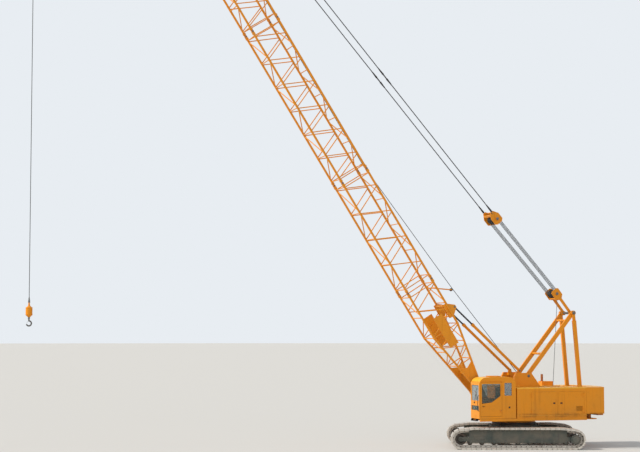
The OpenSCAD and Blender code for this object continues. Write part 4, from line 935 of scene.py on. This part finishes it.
def door_fittings(name, side, rear):
    """The sunk paddle latch, the hinge pins and, on a rear door, the fly screen behind its slots."""
    body = f"door_{name}_{'rear' if rear else 'front'}"
    x = -1.44 if rear else -1.12
    hinge_x = -2.46 if rear else -0.1
    latch = Form()
    latch.block((x - 0.046, side * 1.5982, 1.807), (x + 0.046, side * 1.604, 1.863), 0.003)
    latch.rod((x - 0.03, side * 1.603, 1.848), (x + 0.03, side * 1.603, 1.848), 0.006, 12)
    latch.rod((x, side * 1.603, 1.822), (x, side * 1.6095, 1.822), 0.009, 16, round_edges=0.002)
    latch.add(f"door_latch_{body[5:]}", body, BLACK)
    trim = Form()
    low, high = (-2.43, -1.34) if rear else (-1.22, -0.13)
    trim.frame(rectangle(low, 1.395, high, 2.275), 0.03, 0.003, (0, side * 1.6112, 0), "Y")
    for z in (1.51, 2.16):
        trim.rod((hinge_x, side * 1.632, z - 0.068), (hinge_x, side * 1.632, z + 0.068), 0.008, 12)
        trim.rod((hinge_x, side * 1.632, z + 0.06), (hinge_x, side * 1.632, z + 0.07), 0.013, 12, round_edges=0.002)
    trim.add(f"door_trim_{body[5:]}", body, PAINT)
    if rear:
        screen = Form()
        for k in range(26):
            screen.rod((-2.405 + 0.0125 * k, side * 1.566, 1.485), (-2.405 + 0.0125 * k, side * 1.566, 1.715), 0.002, 6)
        screen.frame(rectangle(-2.415, 1.478, -2.085, 1.722), 0.014, 0.008, (0, side * 1.565, 0), "Y")
        screen.add(f"door_screen_{name}", body, BLACK)


def house_fittings():
    """Edge trim and screws of the roof, its lifting eyes, the ledge under the doors and the exhaust's stack."""
    trim, screws = Form(), Form()
    trim.block((-2.562, 1.588, HOUSE_TOP), (0.532, 1.622, HOUSE_TOP + 0.006), 0.002)
    trim.block((-2.562, 1.613, HOUSE_TOP - 0.045), (0.532, 1.622, HOUSE_TOP + 0.003), 0.002)
    trim.block((-1.04, 0.76, HOUSE_TOP), (0.53, 0.79, HOUSE_TOP + 0.008), 0.002)
    trim.block((-2.3, 0.43, HOUSE_TOP), (-1.04, 0.46, HOUSE_TOP + 0.008), 0.002)
    trim.block((-2.56, 1.609, 1.334), (0.53, 1.634, 1.35), 0.003)
    for x in (-2.38, 0.35):
        lifting_eye(trim, Vector((x, 1.35, HOUSE_TOP)), X, 0.05)
    for k in range(11):
        screws.bolt((-2.5 + 0.298 * k, 1.604, HOUSE_TOP + 0.006), Z, 0.009, 0.007)
        if k < 6:
            screws.bolt((-1.000 + 0.298 * k, 0.775, HOUSE_TOP + 0.008), Z, 0.009, 0.007)
    # The roof's edge trim and the ledge under the doors take the lighter paint: a painted highlight along the roof's
    # edge and the ledge.
    trim.mirrored().add("roof_trim", "upper", LIT_TOP_PAINT)
    screws.mirrored().add("roof_screws", "upper", PIN, smooth=False)
    box = Form()
    box.frame(rectangle(-2.19, -1.29, -1.71, -0.91), 0.03, 0.01, (0, 0, 2.655), "Z", 0.002)
    box.add("exhaust_box_rim", "upper", PAINT)
    stack = Form().lathe(((0.046, 0.3), (0.05, 0.3), (0.05, 0), (0.046, 0), (0.046, 0.299)),
                         (-1.78, -1.1, 2.649), Z, 28)
    stack.lathe(((0.05, 0), (0.078, 0.002), (0.078, 0.014), (0.05, 0.016)), (-1.78, -1.1, 2.649), Z, 28)
    stack.lathe(((0.05, 0), (0.055, 0.003), (0.055, 0.027), (0.05, 0.03)), (-1.78, -1.1, 2.8), Z, 28)
    stack.add("exhaust_stack", "upper", STACK)


def machinery():
    """What shows when the house doors are open: tanks on the left, engine and pumps on the right."""
    tanks, straps, metal = Form(), Form(), Form()
    tanks.block((-1.18, 0.86, 1.3), (-0.18, 1.48, 2.06), 0.04, 3)
    tanks.block((-2.38, 0.86, 1.3), (-1.42, 1.46, 2.12), 0.03, 3)
    for x in (-0.96, -0.4):
        straps.block((x - 0.025, 0.852, 1.29), (x + 0.025, 1.488, 1.304), 0.002)
        straps.block((x - 0.025, 1.48, 1.29), (x + 0.025, 1.487, 2.066), 0.002)
        straps.block((x - 0.025, 0.852, 2.06), (x + 0.025, 1.487, 2.067), 0.002)
    for x in (-2.3, -1.5, -1.1, -0.26):
        straps.block((x - 0.03, 0.88, 1.24), (x + 0.03, 1.44, 1.3), 0.004)
    for x, y in ((-0.3, 1.3), (-1.56, 1.25)):
        metal.lathe(((0, 0.075), (0.045, 0.075), (0.055, 0.062), (0.055, 0.03), (0.04, 0.026), (0.04, 0)),
                    (x, y, 2.05 if x > -1 else 2.11), Z, 24)
    # Sight gauge and return filter of the hydraulic tank, with the suction pipe
    metal.rod((-1.56, 1.468, 1.6), (-1.56, 1.468, 1.96), 0.01, 10)
    metal.lathe(((0, 0.2), (0.07, 0.2), (0.085, 0.185), (0.085, 0.17), (0.07, 0.165), (0.07, 0)),
                (-2.1, 1.16, 2.11), Z, 28)
    metal.tube(smooth_path([(-1.9, 1.15, 1.33), (-1.9, 1.06, 1.27), (-1.9, 0.78, 1.265)]), 0.03, 12)
    tanks.add("tanks", "upper", PAINT)
    straps.add("tank_straps", "upper", BLACK)
    metal.add("tank_fittings", "upper", PIN)

    cover, dark = Form(), Form()
    cover.block((-2.33, -1.18, 2.139), (-1.42, -0.9, 2.23), 0.025, 3)
    for k in range(6):
        x = -2.29 + 0.15 * k
        cover.block((x, -1.372, 1.98), (x + 0.11, -1.348, 2.1), 0.008)
        cover.rod((x + 0.055, -1.36, 2.06), (x + 0.055, -1.44, 2.06), 0.026, 12)
    cover.rod((-2.32, -1.44, 2.06), (-1.42, -1.44, 2.06), 0.042, 16, round_edges=0.01)
    cover.block((-2.3, -1.372, 1.33), (-1.45, -1.348, 1.52), 0.01)
    for k in range(3):
        cover.lathe(((0, 0.12), (0.04, 0.12), (0.048, 0.11), (0.048, 0.016), (0.056, 0.008), (0.056, 0)),
                    (-2.18 + 0.14 * k, -1.35, 1.66), -Y, 24)
    cover.add("engine_covers", "upper", ENGINE)
    dark.lathe(((0, 0.52), (0.115, 0.52), (0.135, 0.5), (0.135, 0.02), (0.12, 0), (0, 0)),
               (-1.23, -1.15, 2.1), X, 32)
    for x in (-1.1, -0.86):
        dark.lathe(((0.134, 0), (0.142, 0), (0.142, 0.025), (0.134, 0.025)), (x, -1.15, 2.1), X, 32)
    # Batteries with their clamps
    for x in (-0.7, -0.38):
        dark.block((x, -1.44, 1.262), (x + 0.27, -1.08, 1.5), 0.012)
        for y in (-1.4, -1.12):
            dark.rod((x + 0.06, y, 1.5), (x + 0.06, y, 1.52), 0.012, 12)
    dark.block((-0.74, -1.46, 1.24), (-0.07, -1.06, 1.262), 0.004)
    dark.add("air_cleaner_and_batteries", "upper", BLACK)
    pumps = Form()
    for x, radius in ((-1.348, 0.15), (-1.24, 0.11), (-1.05, 0.095)):
        pumps.lathe(((0, 0.18), (radius * 0.8, 0.18), (radius, 0.16), (radius, 0.03), (radius * 1.15, 0.02),
                     (radius * 1.15, 0)), (x, -1.08, 1.7), X, 32)
    pumps.block((-1.000, -1.13, 1.56), (-0.9, -1.03, 1.64), 0.008)
    pumps.tube(smooth_path([(-0.96, -1.08, 1.57), (-0.96, -1.08, 1.4), (-0.96, -0.96, 1.29),
                            (-0.96, -0.8, 1.262)]), 0.022, 10)
    pumps.add("hydraulic_pumps", "upper", ENGINE)


# Winches


def winches():
    """Rope wound on the drums, motors and gear cases outside the winch plates, and caps on the shafts."""
    coil("hoist_rope_coil", FRONT_DRUM, FRONT_DRUM_RADIUS + HOIST_ROPE_RADIUS, DRUM_HALF_WIDTH, HOIST_ROPE_RADIUS)
    coil("luffing_rope_coil", REAR_DRUM, REAR_DRUM_RADIUS + LUFFING_ROPE_RADIUS, DRUM_HALF_WIDTH, LUFFING_ROPE_RADIUS)
    cases, bolts = Form(), Form()
    for drum, radius in ((FRONT_DRUM, 0.19), (REAR_DRUM, 0.17)):
        for side in (-1, 1):
            face = drum + Y * side * 0.485
            cases.lathe(((0, 0.075), (radius * 0.55, 0.075), (radius * 0.6, 0.06), (radius, 0.052), (radius, 0)),
                        face, Y * side, 40)
            bolts.bolt_circle(face + Y * side * 0.052, Y * side, radius * 0.88, 14, 0.009, 0.008)
    # The luffing winch's motor, behind the left cheek
    cases.lathe(((0, 0.3), (0.07, 0.3), (0.088, 0.285), (0.092, 0.06), (0.11, 0.05), (0.11, 0)),
                REAR_DRUM + Y * 0.56, Y, 32)
    cases.add("winch_gear_cases", "upper", PAINT)
    bolts.add("winch_bolts", "upper", PIN, smooth=False)


def luffing_ropes():
    """Ten parts of rope between the spreader and the bridle, round their sheaves, and the fall to its drum."""
    bridle = on_boom(BRIDLE[0], 0, BRIDLE[1])
    spread_r, bridle_r = SPREADER_SHEAVE_RADIUS + LUFFING_ROPE_RADIUS, BRIDLE_SHEAVE_RADIUS + LUFFING_ROPE_RADIUS
    for k in range(5):
        side = LUFFING_SHEAVE_SPACING * (k - 2)
        over = tangent(SPREADER, spread_r, bridle, bridle_r, side)
        under = tangent(SPREADER, -spread_r, bridle, -bridle_r, side)
        front, rear = arc(bridle, over[1], under[1], side), arc(SPREADER, under[0], over[0], side)
        for part, path, body, between in (
            ("rope_top", over, None, ("upper", "boom")), ("rope_low", under, None, ("upper", "boom")),
            ("bend_front", front, "boom", None), ("bend_rear", rear, "upper", None),
        ):
            rope_piece(f"luffing_{part}_{k + 1}", path, LUFFING_ROPE_RADIUS, body, between)
    fall = tangent(REAR_DRUM, REAR_DRUM_RADIUS + LUFFING_ROPE_RADIUS, SPREADER, spread_r, 0.045)
    rope_piece("luffing_rope_fall", fall, LUFFING_ROPE_RADIUS, "upper")


def hoist_ropes():
    """The hoist rope from the front drum over the boom's rollers and round the head sheave to the hook's rope."""
    drum_r = FRONT_DRUM_RADIUS + HOIST_ROPE_RADIUS
    wheels = [(on_boom(along, 0, back), radius + HOIST_ROPE_RADIUS) for along, back, radius in ROPE_ROLLERS]
    head = on_boom(HEAD_SHEAVE[0], 0, HEAD_SHEAVE[1])
    wheels.append((head, HEAD_SHEAVE_RADIUS + HOIST_ROPE_RADIUS))
    start = tangent(FRONT_DRUM, drum_r, *wheels[0], HOIST_SIDE)
    rope_piece("hoist_rope_winch", start, HOIST_ROPE_RADIUS, between=("upper", "boom"))
    path = [start[1]]
    for (a, a_r), (b, b_r) in zip(wheels, wheels[1:]):
        ends = tangent(a, a_r, b, b_r, HOIST_SIDE)
        path += ends
    rope_piece("hoist_rope_boom", path, HOIST_ROPE_RADIUS, "boom")
    side = Vector((HOOK_ROPE.x, HOIST_SIDE, HOOK_ROPE.z))
    wrap = arc(head, path[-1], side, HOIST_SIDE, steps=20)
    rope_piece("hoist_rope_wrap", wrap, HOIST_ROPE_RADIUS, between=("boom", "hoist_rope"))
    # The hanging part runs the length of the frame's hoist rope, which is hidden
    low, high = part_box("hoist_rope")
    hanging = [Vector((side.x, side.y, high[2])), Vector((side.x, side.y, low[2]))]
    fall = rope_piece("hoist_rope_hanging", hanging, HOIST_ROPE_RADIUS, between=("hoist_rope", "hook_weight"))
    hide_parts("hoist_rope")


# Gantry, spreader and boom


def gantry_fittings():
    """Pin heads, the shaft's collars and the two tubes between the front legs."""
    pins, tubes = Form(), Form()
    pins.pin_head(GANTRY_FOOT + Y * 0.72, Y, 0.058, 0.016)
    pins.pin_head(GANTRY_APEX + Y * 0.67, Y, 0.07, 0.02)
    pins.pin_head(BACKSTOP_FOOT + Y * 0.575, Y, 0.036, 0.01)
    pins.rod((-2.81, 0.682, 1.58), (-2.81, 0.706, 1.58), 0.045, 20, round_edges=0.004)
    for share in (0.35, 0.88):
        at = GANTRY_FOOT.lerp(GANTRY_APEX, share)
        tubes.rod(at - Y * 0.486, at + Y * 0.486, 0.045, 20)
        for side in (-1, 1):
            tubes.lathe(((0.045, 0), (0.07, 0.002), (0.07, 0.012), (0.045, 0.014)), at + Y * side * 0.486,
                        Y * -side, 24)
    pins.mirrored().add("gantry_pin_heads", "upper", PIN)
    tubes.add("gantry_cross_tubes", "upper", PAINT)
    caps = Form()
    caps.pin_head(SPREADER + Y * 0.37, Y, 0.062, 0.012)
    caps.mirrored().add("spreader_shaft_caps", "upper", PIN)


def boom_fittings():
    """Pin heads of the section joints, head, bridle and backstops, and the pendants' links and sockets."""
    pins = Form()
    for along in SECTION_JOINTS:
        for back in (-0.6, 0.6):
            pins.pin_head(on_boom(along, 0.6523, back), Y, 0.036, 0.01)
            pins.pin_head(on_boom(along, 0.5277, back), -Y, 0.03, 0.006)
    pins.pin_head(on_boom(HEAD_SHEAVE[0], 0.55, HEAD_SHEAVE[1]), Y, 0.07, 0.014)
    pins.pin_head(on_boom(BRIDLE[0], 0.45, BRIDLE[1]), Y, 0.062, 0.012)
    pins.pin_head(BACKSTOP_EYE + Y * 0.578, Y, 0.042, 0.012)
    pins.pin_head(BACKSTOP_EYE + Y * 0.45, -Y, 0.042, 0.012)
    pins.mirrored().add("boom_pin_heads", "boom", PIN)
    start, end = on_boom(BRIDLE[0], 0, BRIDLE[1]), on_boom(PENDANT_TIE[0], 0, PENDANT_TIE[1])
    way = (end - start).normalized()
    links = Form()
    for share in (0.266, 0.511, 0.756):
        at = start.lerp(end, share) + Y * (0.42 + 0.025 * share)
        for side in (-1, 1):
            links.rod(at + Y * side * 0.026 - way * 0.16, at + Y * side * 0.026 + way * 0.16, 0.018, 8)
        for step in (-0.13, 0.13):
            links.rod(at + way * step - Y * 0.06, at + way * step + Y * 0.06, 0.02, 16, round_edges=0.003)
        for side in (-1, 1):
            links.rod(at + way * side * 0.13, at + way * side * 0.42, 0.038, 16, tip=0.024)
    low = start + way * 0.4 + Y * 0.4204
    links.rod(low, low + way * 0.34, 0.042, 20, tip=0.025)
    high = end - way * 0.06 + Y * 0.445
    links.rod(high, high - way * 0.34, 0.03, 20, tip=0.024)
    links.mirrored().add("pendant_links", "boom", SHEAVE)


def hook_fittings():
    """The rope's socket over the weight, the bands round the weight and the hook's latch."""
    top = Vector((HOOK_ROPE.x, HOIST_SIDE, 5.88))
    socket = Form().lathe(((0.016, 0.2), (0.021, 0.198), (0.03, 0.12), (0.038, 0.06), (0.042, 0.01),
                           (0.04, 0), (0.016, 0)), top, Z, 24)
    socket.add("rope_socket", "hook_weight", PIN)
    bands = Form()
    for drop in (0.215, 0.465):
        bands.lathe(((0.13, 0), (0.137, 0.003), (0.137, 0.022), (0.13, 0.025)), top - Z * drop, Z, 48)
    bands.add("weight_bands", "hook_weight", PAINT)
    eye = Vector((HOOK_ROPE.x, HOIST_SIDE, 5.08))
    latch = Form()
    latch.rod(eye + Vector((0.022, -0.026, 0.085)), eye + Vector((0.022, 0.026, 0.085)), 0.009, 12)
    latch.plate(((0.018, 0.09), (0.026, 0.092), (0.098, -0.004), (0.09, -0.008)), 0.034, eye, "Y", 0.002)
    latch.add("hook_latch", "hook", PIN)


# Cab


def cab_windows():
    """Rubber seals round the panes, and the wiper."""
    seals = Form()
    for corners, width, at, normal in (
        (rectangle(0.76, 1.967, 1.55, 2.595), 0.02, (CAB_FRONT - SEAL_INSET, 0, 0), "X"),
        (rectangle(0.76, 1.58, 1.55, 1.763), 0.02, (CAB_FRONT - SEAL_INSET, 0, 0), "X"),
        (rectangle(0.81, 2.48, 1.5, 2.6), 0.016, (CAB_BACK + SEAL_INSET, 0, 0), "X"),
        (rectangle(0.76, 2.17, 1.08, 2.68), 0.018, (0, CAB_LEFT - SEAL_INSET, 0), "Y"),
        (rectangle(0.76, 2.04, 2.065, 2.645), 0.018, (0, CAB_RIGHT + SEAL_INSET, 0), "Y"),
    ):
        seals.frame(corners, width, 0.024, at, normal, 0.003)
    seals.add("window_seals", "upper", BLACK)
    pane = ((1.255, 2.645), (1.255, 2.156), (1.632, 1.898), (2.068, 1.845), (2.068, 2.6), (2.045, 2.645))
    door_seal = Form().frame(pane, 0.018, 0.024, (0, CAB_LEFT - SEAL_INSET, 0), "Y", 0.003)
    door_seal.add("door_window_seal", "cab_door", BLACK)
    wiper = Form()
    wiper.lathe(((0, 0.035), (0.02, 0.035), (0.024, 0.028), (0.024, 0)), (CAB_FRONT, 1.1, 1.88), X, 20)
    wiper.rod((CAB_FRONT + 0.026, 1.1, 1.88), (CAB_FRONT + 0.022, 1.3, 2.24), 0.006, 8)
    wiper.block((CAB_FRONT + 0.004, 1.296, 2.02), (CAB_FRONT + 0.018, 1.304, 2.48), 0.002)
    wiper.rod((CAB_FRONT + 0.02, 1.3, 2.12), (CAB_FRONT + 0.02, 1.3, 2.38), 0.005, 8)
    wiper.add("windscreen_wiper", "upper", BLACK)


def cab_fittings():
    """Grab rail, catch, door handle, hinge pins, roof hatch, gutter and screws."""
    rail = Form()
    rail.tube(smooth_path([(2.17, 1.59, 1.56), (2.225, 1.59, 1.57), (2.238, 1.59, 1.62), (2.238, 1.59, 2.12),
                           (2.225, 1.59, 2.17), (2.17, 1.59, 2.18)]), 0.012, 10)
    rail.add("cab_grab_rail", "upper", BLACK)
    trim = Form()
    trim.block((1.15, 1.619, 2.736), (2.1, 1.638, 2.748), 0.003)
    trim.frame(rectangle(1.12, 0.88, 1.64, 1.43), 0.06, 0.05, (0, 0, 2.925), "Z", 0.006)
    trim.add("cab_trim", "upper", PAINT)
    hatch = Form().block((1.15, 0.91, 2.93), (1.61, 1.4, 2.962), 0.014, 3)
    for y in (1.000, 1.31):
        hatch.rod((1.125, y - 0.03, 2.955), (1.125, y + 0.03, 2.955), 0.012, 12)
    hatch.add("cab_roof_hatch", "upper", PAINT)
    catch = Form().block((0.838, 1.619, 1.655), (0.9, 1.636, 1.725), 0.005)
    catch.rod((0.869, 1.63, 1.69), (0.869, 1.652, 1.69), 0.016, 16, round_edges=0.003)
    catch.add("door_catch", "upper", BLACK)
    handle = Form().tube(smooth_path([(1.95, 1.606, 1.74), (1.957, 1.616, 1.74), (2.033, 1.616, 1.74),
                                      (2.04, 1.606, 1.74)], 4), 0.006, 8)
    handle.rod((1.995, 1.606, 1.72), (1.995, 1.612, 1.72), 0.006, 12)
    handle.add("cab_door_handle", "cab_door", BLACK)
    hinges = Form()
    for z in (1.54, 2.44):
        hinges.rod((1.19, 1.64, z - 0.054), (1.19, 1.64, z + 0.054), 0.007, 12)
        hinges.rod((1.19, 1.64, z + 0.045), (1.19, 1.64, z + 0.055), 0.011, 12, round_edges=0.002)
        for x in (1.222, 1.252):
            for step in (-0.02, 0.02):
                hinges.bolt((x, 1.64, z + step), Y, 0.0055, 0.005)
    hinges.add("cab_hinge_pins", "cab_door", PIN, smooth=False)


def cab_inside():
    """Floor mat, consoles with their levers, pedals and instruments."""
    Form().block((1.02, 0.745, 1.2855), (2.12, 1.565, 1.293), 0.002, 1).add("cab_floor_mat", "upper", MAT)
    body, levers, knobs = Form(), Form(), Form()
    knob = ((0, 0.052), (0.012, 0.048), (0.019, 0.034), (0.018, 0.016), (0.01, 0.002), (0, 0))
    for side in (-1, 1):
        y = CAB_MIDDLE + side * 0.335
        body.block((0.96, y - 0.045, 1.29), (1.56, y + 0.045, 1.78), 0.018, 3)
        body.block((1.44, y - 0.055, 1.77), (1.64, y + 0.055, 1.83), 0.014, 3)
        for k in range(2):
            foot = Vector((1.51 + 0.08 * k, y, 1.825))
            tip = foot + Vector((0.02, 0, 0.15))
            levers.lathe(((0.026, 0), (0.02, 0.014), (0.014, 0.02), (0.01, 0.03), (0.006, 0.034)), foot, Z, 16)
            levers.rod(foot, tip, 0.006, 8)
            knobs.lathe(knob, tip, Z, 16)
    body.block((1.98, 0.76, 1.6), (2.11, 0.96, 1.98), 0.02, 3)
    for y in (CAB_MIDDLE - 0.1, CAB_MIDDLE + 0.1):
        tilt = Matrix.Rotation(math.radians(-50), 4, "Y")
        knobs.block((1.93, y - 0.05, 1.36), (2.07, y + 0.05, 1.372), 0.004, 2, tilt)
        levers.rod((1.98, y, 1.36), (2.06, y, 1.3), 0.008, 8)
    body.add("cab_consoles", "upper", GREY)
    levers.add("cab_levers", "upper", PIN)
    knobs.add("lever_knobs", "upper", BLACK)
    gauges = Form()
    for k, z in enumerate((1.9, 1.8, 1.7)):
        gauges.lathe(((0, 0.004), (0.03, 0.004), (0.036, 0.01), (0.04, 0.004), (0.04, 0)), (1.98, 0.86, z), -X, 24)
    gauges.add("cab_gauges", "upper", GLOWING_LENS)


def soft_pad(name, corner, other, lean=0.0, cap=0.016):
    """A padded piece between two corners: its cover is blown up a little over a rounded block."""
    corner, other = Vector(corner), Vector(other)
    middle, half = (corner + other) / 2, (other - corner) / 2 - Vector((0.01, 0.01, 0.01))
    form = Form(Matrix.Translation(middle) @ Matrix.Rotation(lean, 4, "Y"))
    form.block(-half, half, 0.03, 4)
    pad = form.add(name, None, CLOTH)
    remesh = pad.modifiers.new("cover", "REMESH")
    remesh.mode, remesh.voxel_size = "VOXEL", 0.012
    apply_modifiers(pad)
    at_rest = [v.co.copy() for v in pad.data.vertices]
    cloth = pad.modifiers.new("cloth", "CLOTH")
    cloth.settings.use_pressure, cloth.settings.uniform_pressure_force = True, 4
    cloth.settings.effector_weights.gravity = 0
    cloth.settings.quality = 6
    cloth.point_cache.frame_start, cloth.point_cache.frame_end = 1, 20
    for step in range(1, 21):
        bpy.context.scene.frame_set(step)
    apply_modifiers(pad)
    bpy.context.scene.frame_set(1)
    for vertex, old in zip(pad.data.vertices, at_rest):
        moved = vertex.co - old
        if moved.length > cap:
            vertex.co = old + moved * (cap / moved.length)
    pad.modifiers.new("smooth", "SUBSURF").levels = 1
    pad.modifiers["smooth"].render_levels = 1
    apply_modifiers(pad)
    return pad, form.place


def apply_modifiers(piece):
    """Leaves the piece with the mesh that its modifiers make."""
    shape = bpy.data.meshes.new_from_object(piece.evaluated_get(bpy.context.evaluated_depsgraph_get()))
    piece.modifiers.clear()
    old, piece.data = piece.data, shape
    bpy.data.meshes.remove(old)


def sew(pad, place, lines, depth=0.007, width=0.009):
    """Draws the cover in along sewn lines; a line is an axis of the pad and a place on it."""
    inside = place.inverted()
    for vertex in pad.data.vertices:
        at = inside @ vertex.co
        pull = max(math.exp(-(((at[axis] - spot) / width) ** 2)) for axis, spot in lines)
        vertex.co -= vertex.normal * depth * pull
    pad.data.shade_smooth()


def seat():
    """Seat cushion, back and headrest with sewn channels, on a sprung stand."""
    y = CAB_MIDDLE
    cushion, place = soft_pad("seat_cushion", (0.935, y - 0.238, 1.645), (1.448, y + 0.238, 1.762))
    sew(cushion, place, [(1, -0.165), (1, 0.165), (0, -0.09), (0, 0.09)])
    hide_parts("cab_seat")
    lean = math.radians(-3)
    back, place = soft_pad("seat_back", (0.925, y - 0.228, 1.775), (1.025, y + 0.228, 2.25), lean)
    sew(back, place, [(1, -0.155), (1, 0.155), (2, -0.08), (2, 0.08)])
    rest, place = soft_pad("seat_headrest", (0.915, y - 0.13, 2.27), (1.000, y + 0.13, 2.395), lean, 0.01)
    sew(rest, place, [(2, 0.0)], 0.004)
    for pad, fill in ((cushion, 0.7), (back, 0.7), (rest, 0.8)):
        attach(pad, "upper")
    stand = Form()
    stand.block((1.000, y - 0.16, 1.29), (1.38, y + 0.16, 1.33), 0.008)
    stand.block((0.97, y - 0.19, 1.61), (1.41, y + 0.19, 1.64), 0.008)
    for side in (-1, 1):
        stand.rod((0.945, y + side * 0.07, 2.18), (0.94, y + side * 0.07, 2.3), 0.007, 10)
        stand.block((1.000, y + side * 0.262 - 0.022, 1.9), (1.29, y + side * 0.262 + 0.022, 1.935), 0.012, 3)
        stand.rod((0.99, y + side * 0.232, 1.915), (1.01, y + side * 0.262, 1.915), 0.012, 10)
    stand.add("seat_stand", "upper", GREY)
    bellows = Form()
    for k in range(5):
        bellows.block((1.04, y - 0.12, 1.332 + 0.055 * k), (1.33, y + 0.12, 1.386 + 0.055 * k), 0.022, 3)
    bellows.add("seat_bellows", "upper", BLACK)


set_camera()
set_floor()
set_light()
paint_frame()
paint_sheaves()
paint_sky_reflection()
paint_lit_tops()
for track_side, track_name in ((1, "left"), (-1, "right")):
    track_fittings(track_side, track_name)
    door_fittings(track_name, track_side, False)
    door_fittings(track_name, track_side, True)
motor_pipes()
car_body_fittings()
deck_fittings()
house_fittings()
machinery()
winches()
luffing_ropes()
hoist_ropes()
gantry_fittings()
boom_fittings()
hook_fittings()
cab_windows()
cab_fittings()
cab_inside()
seat()
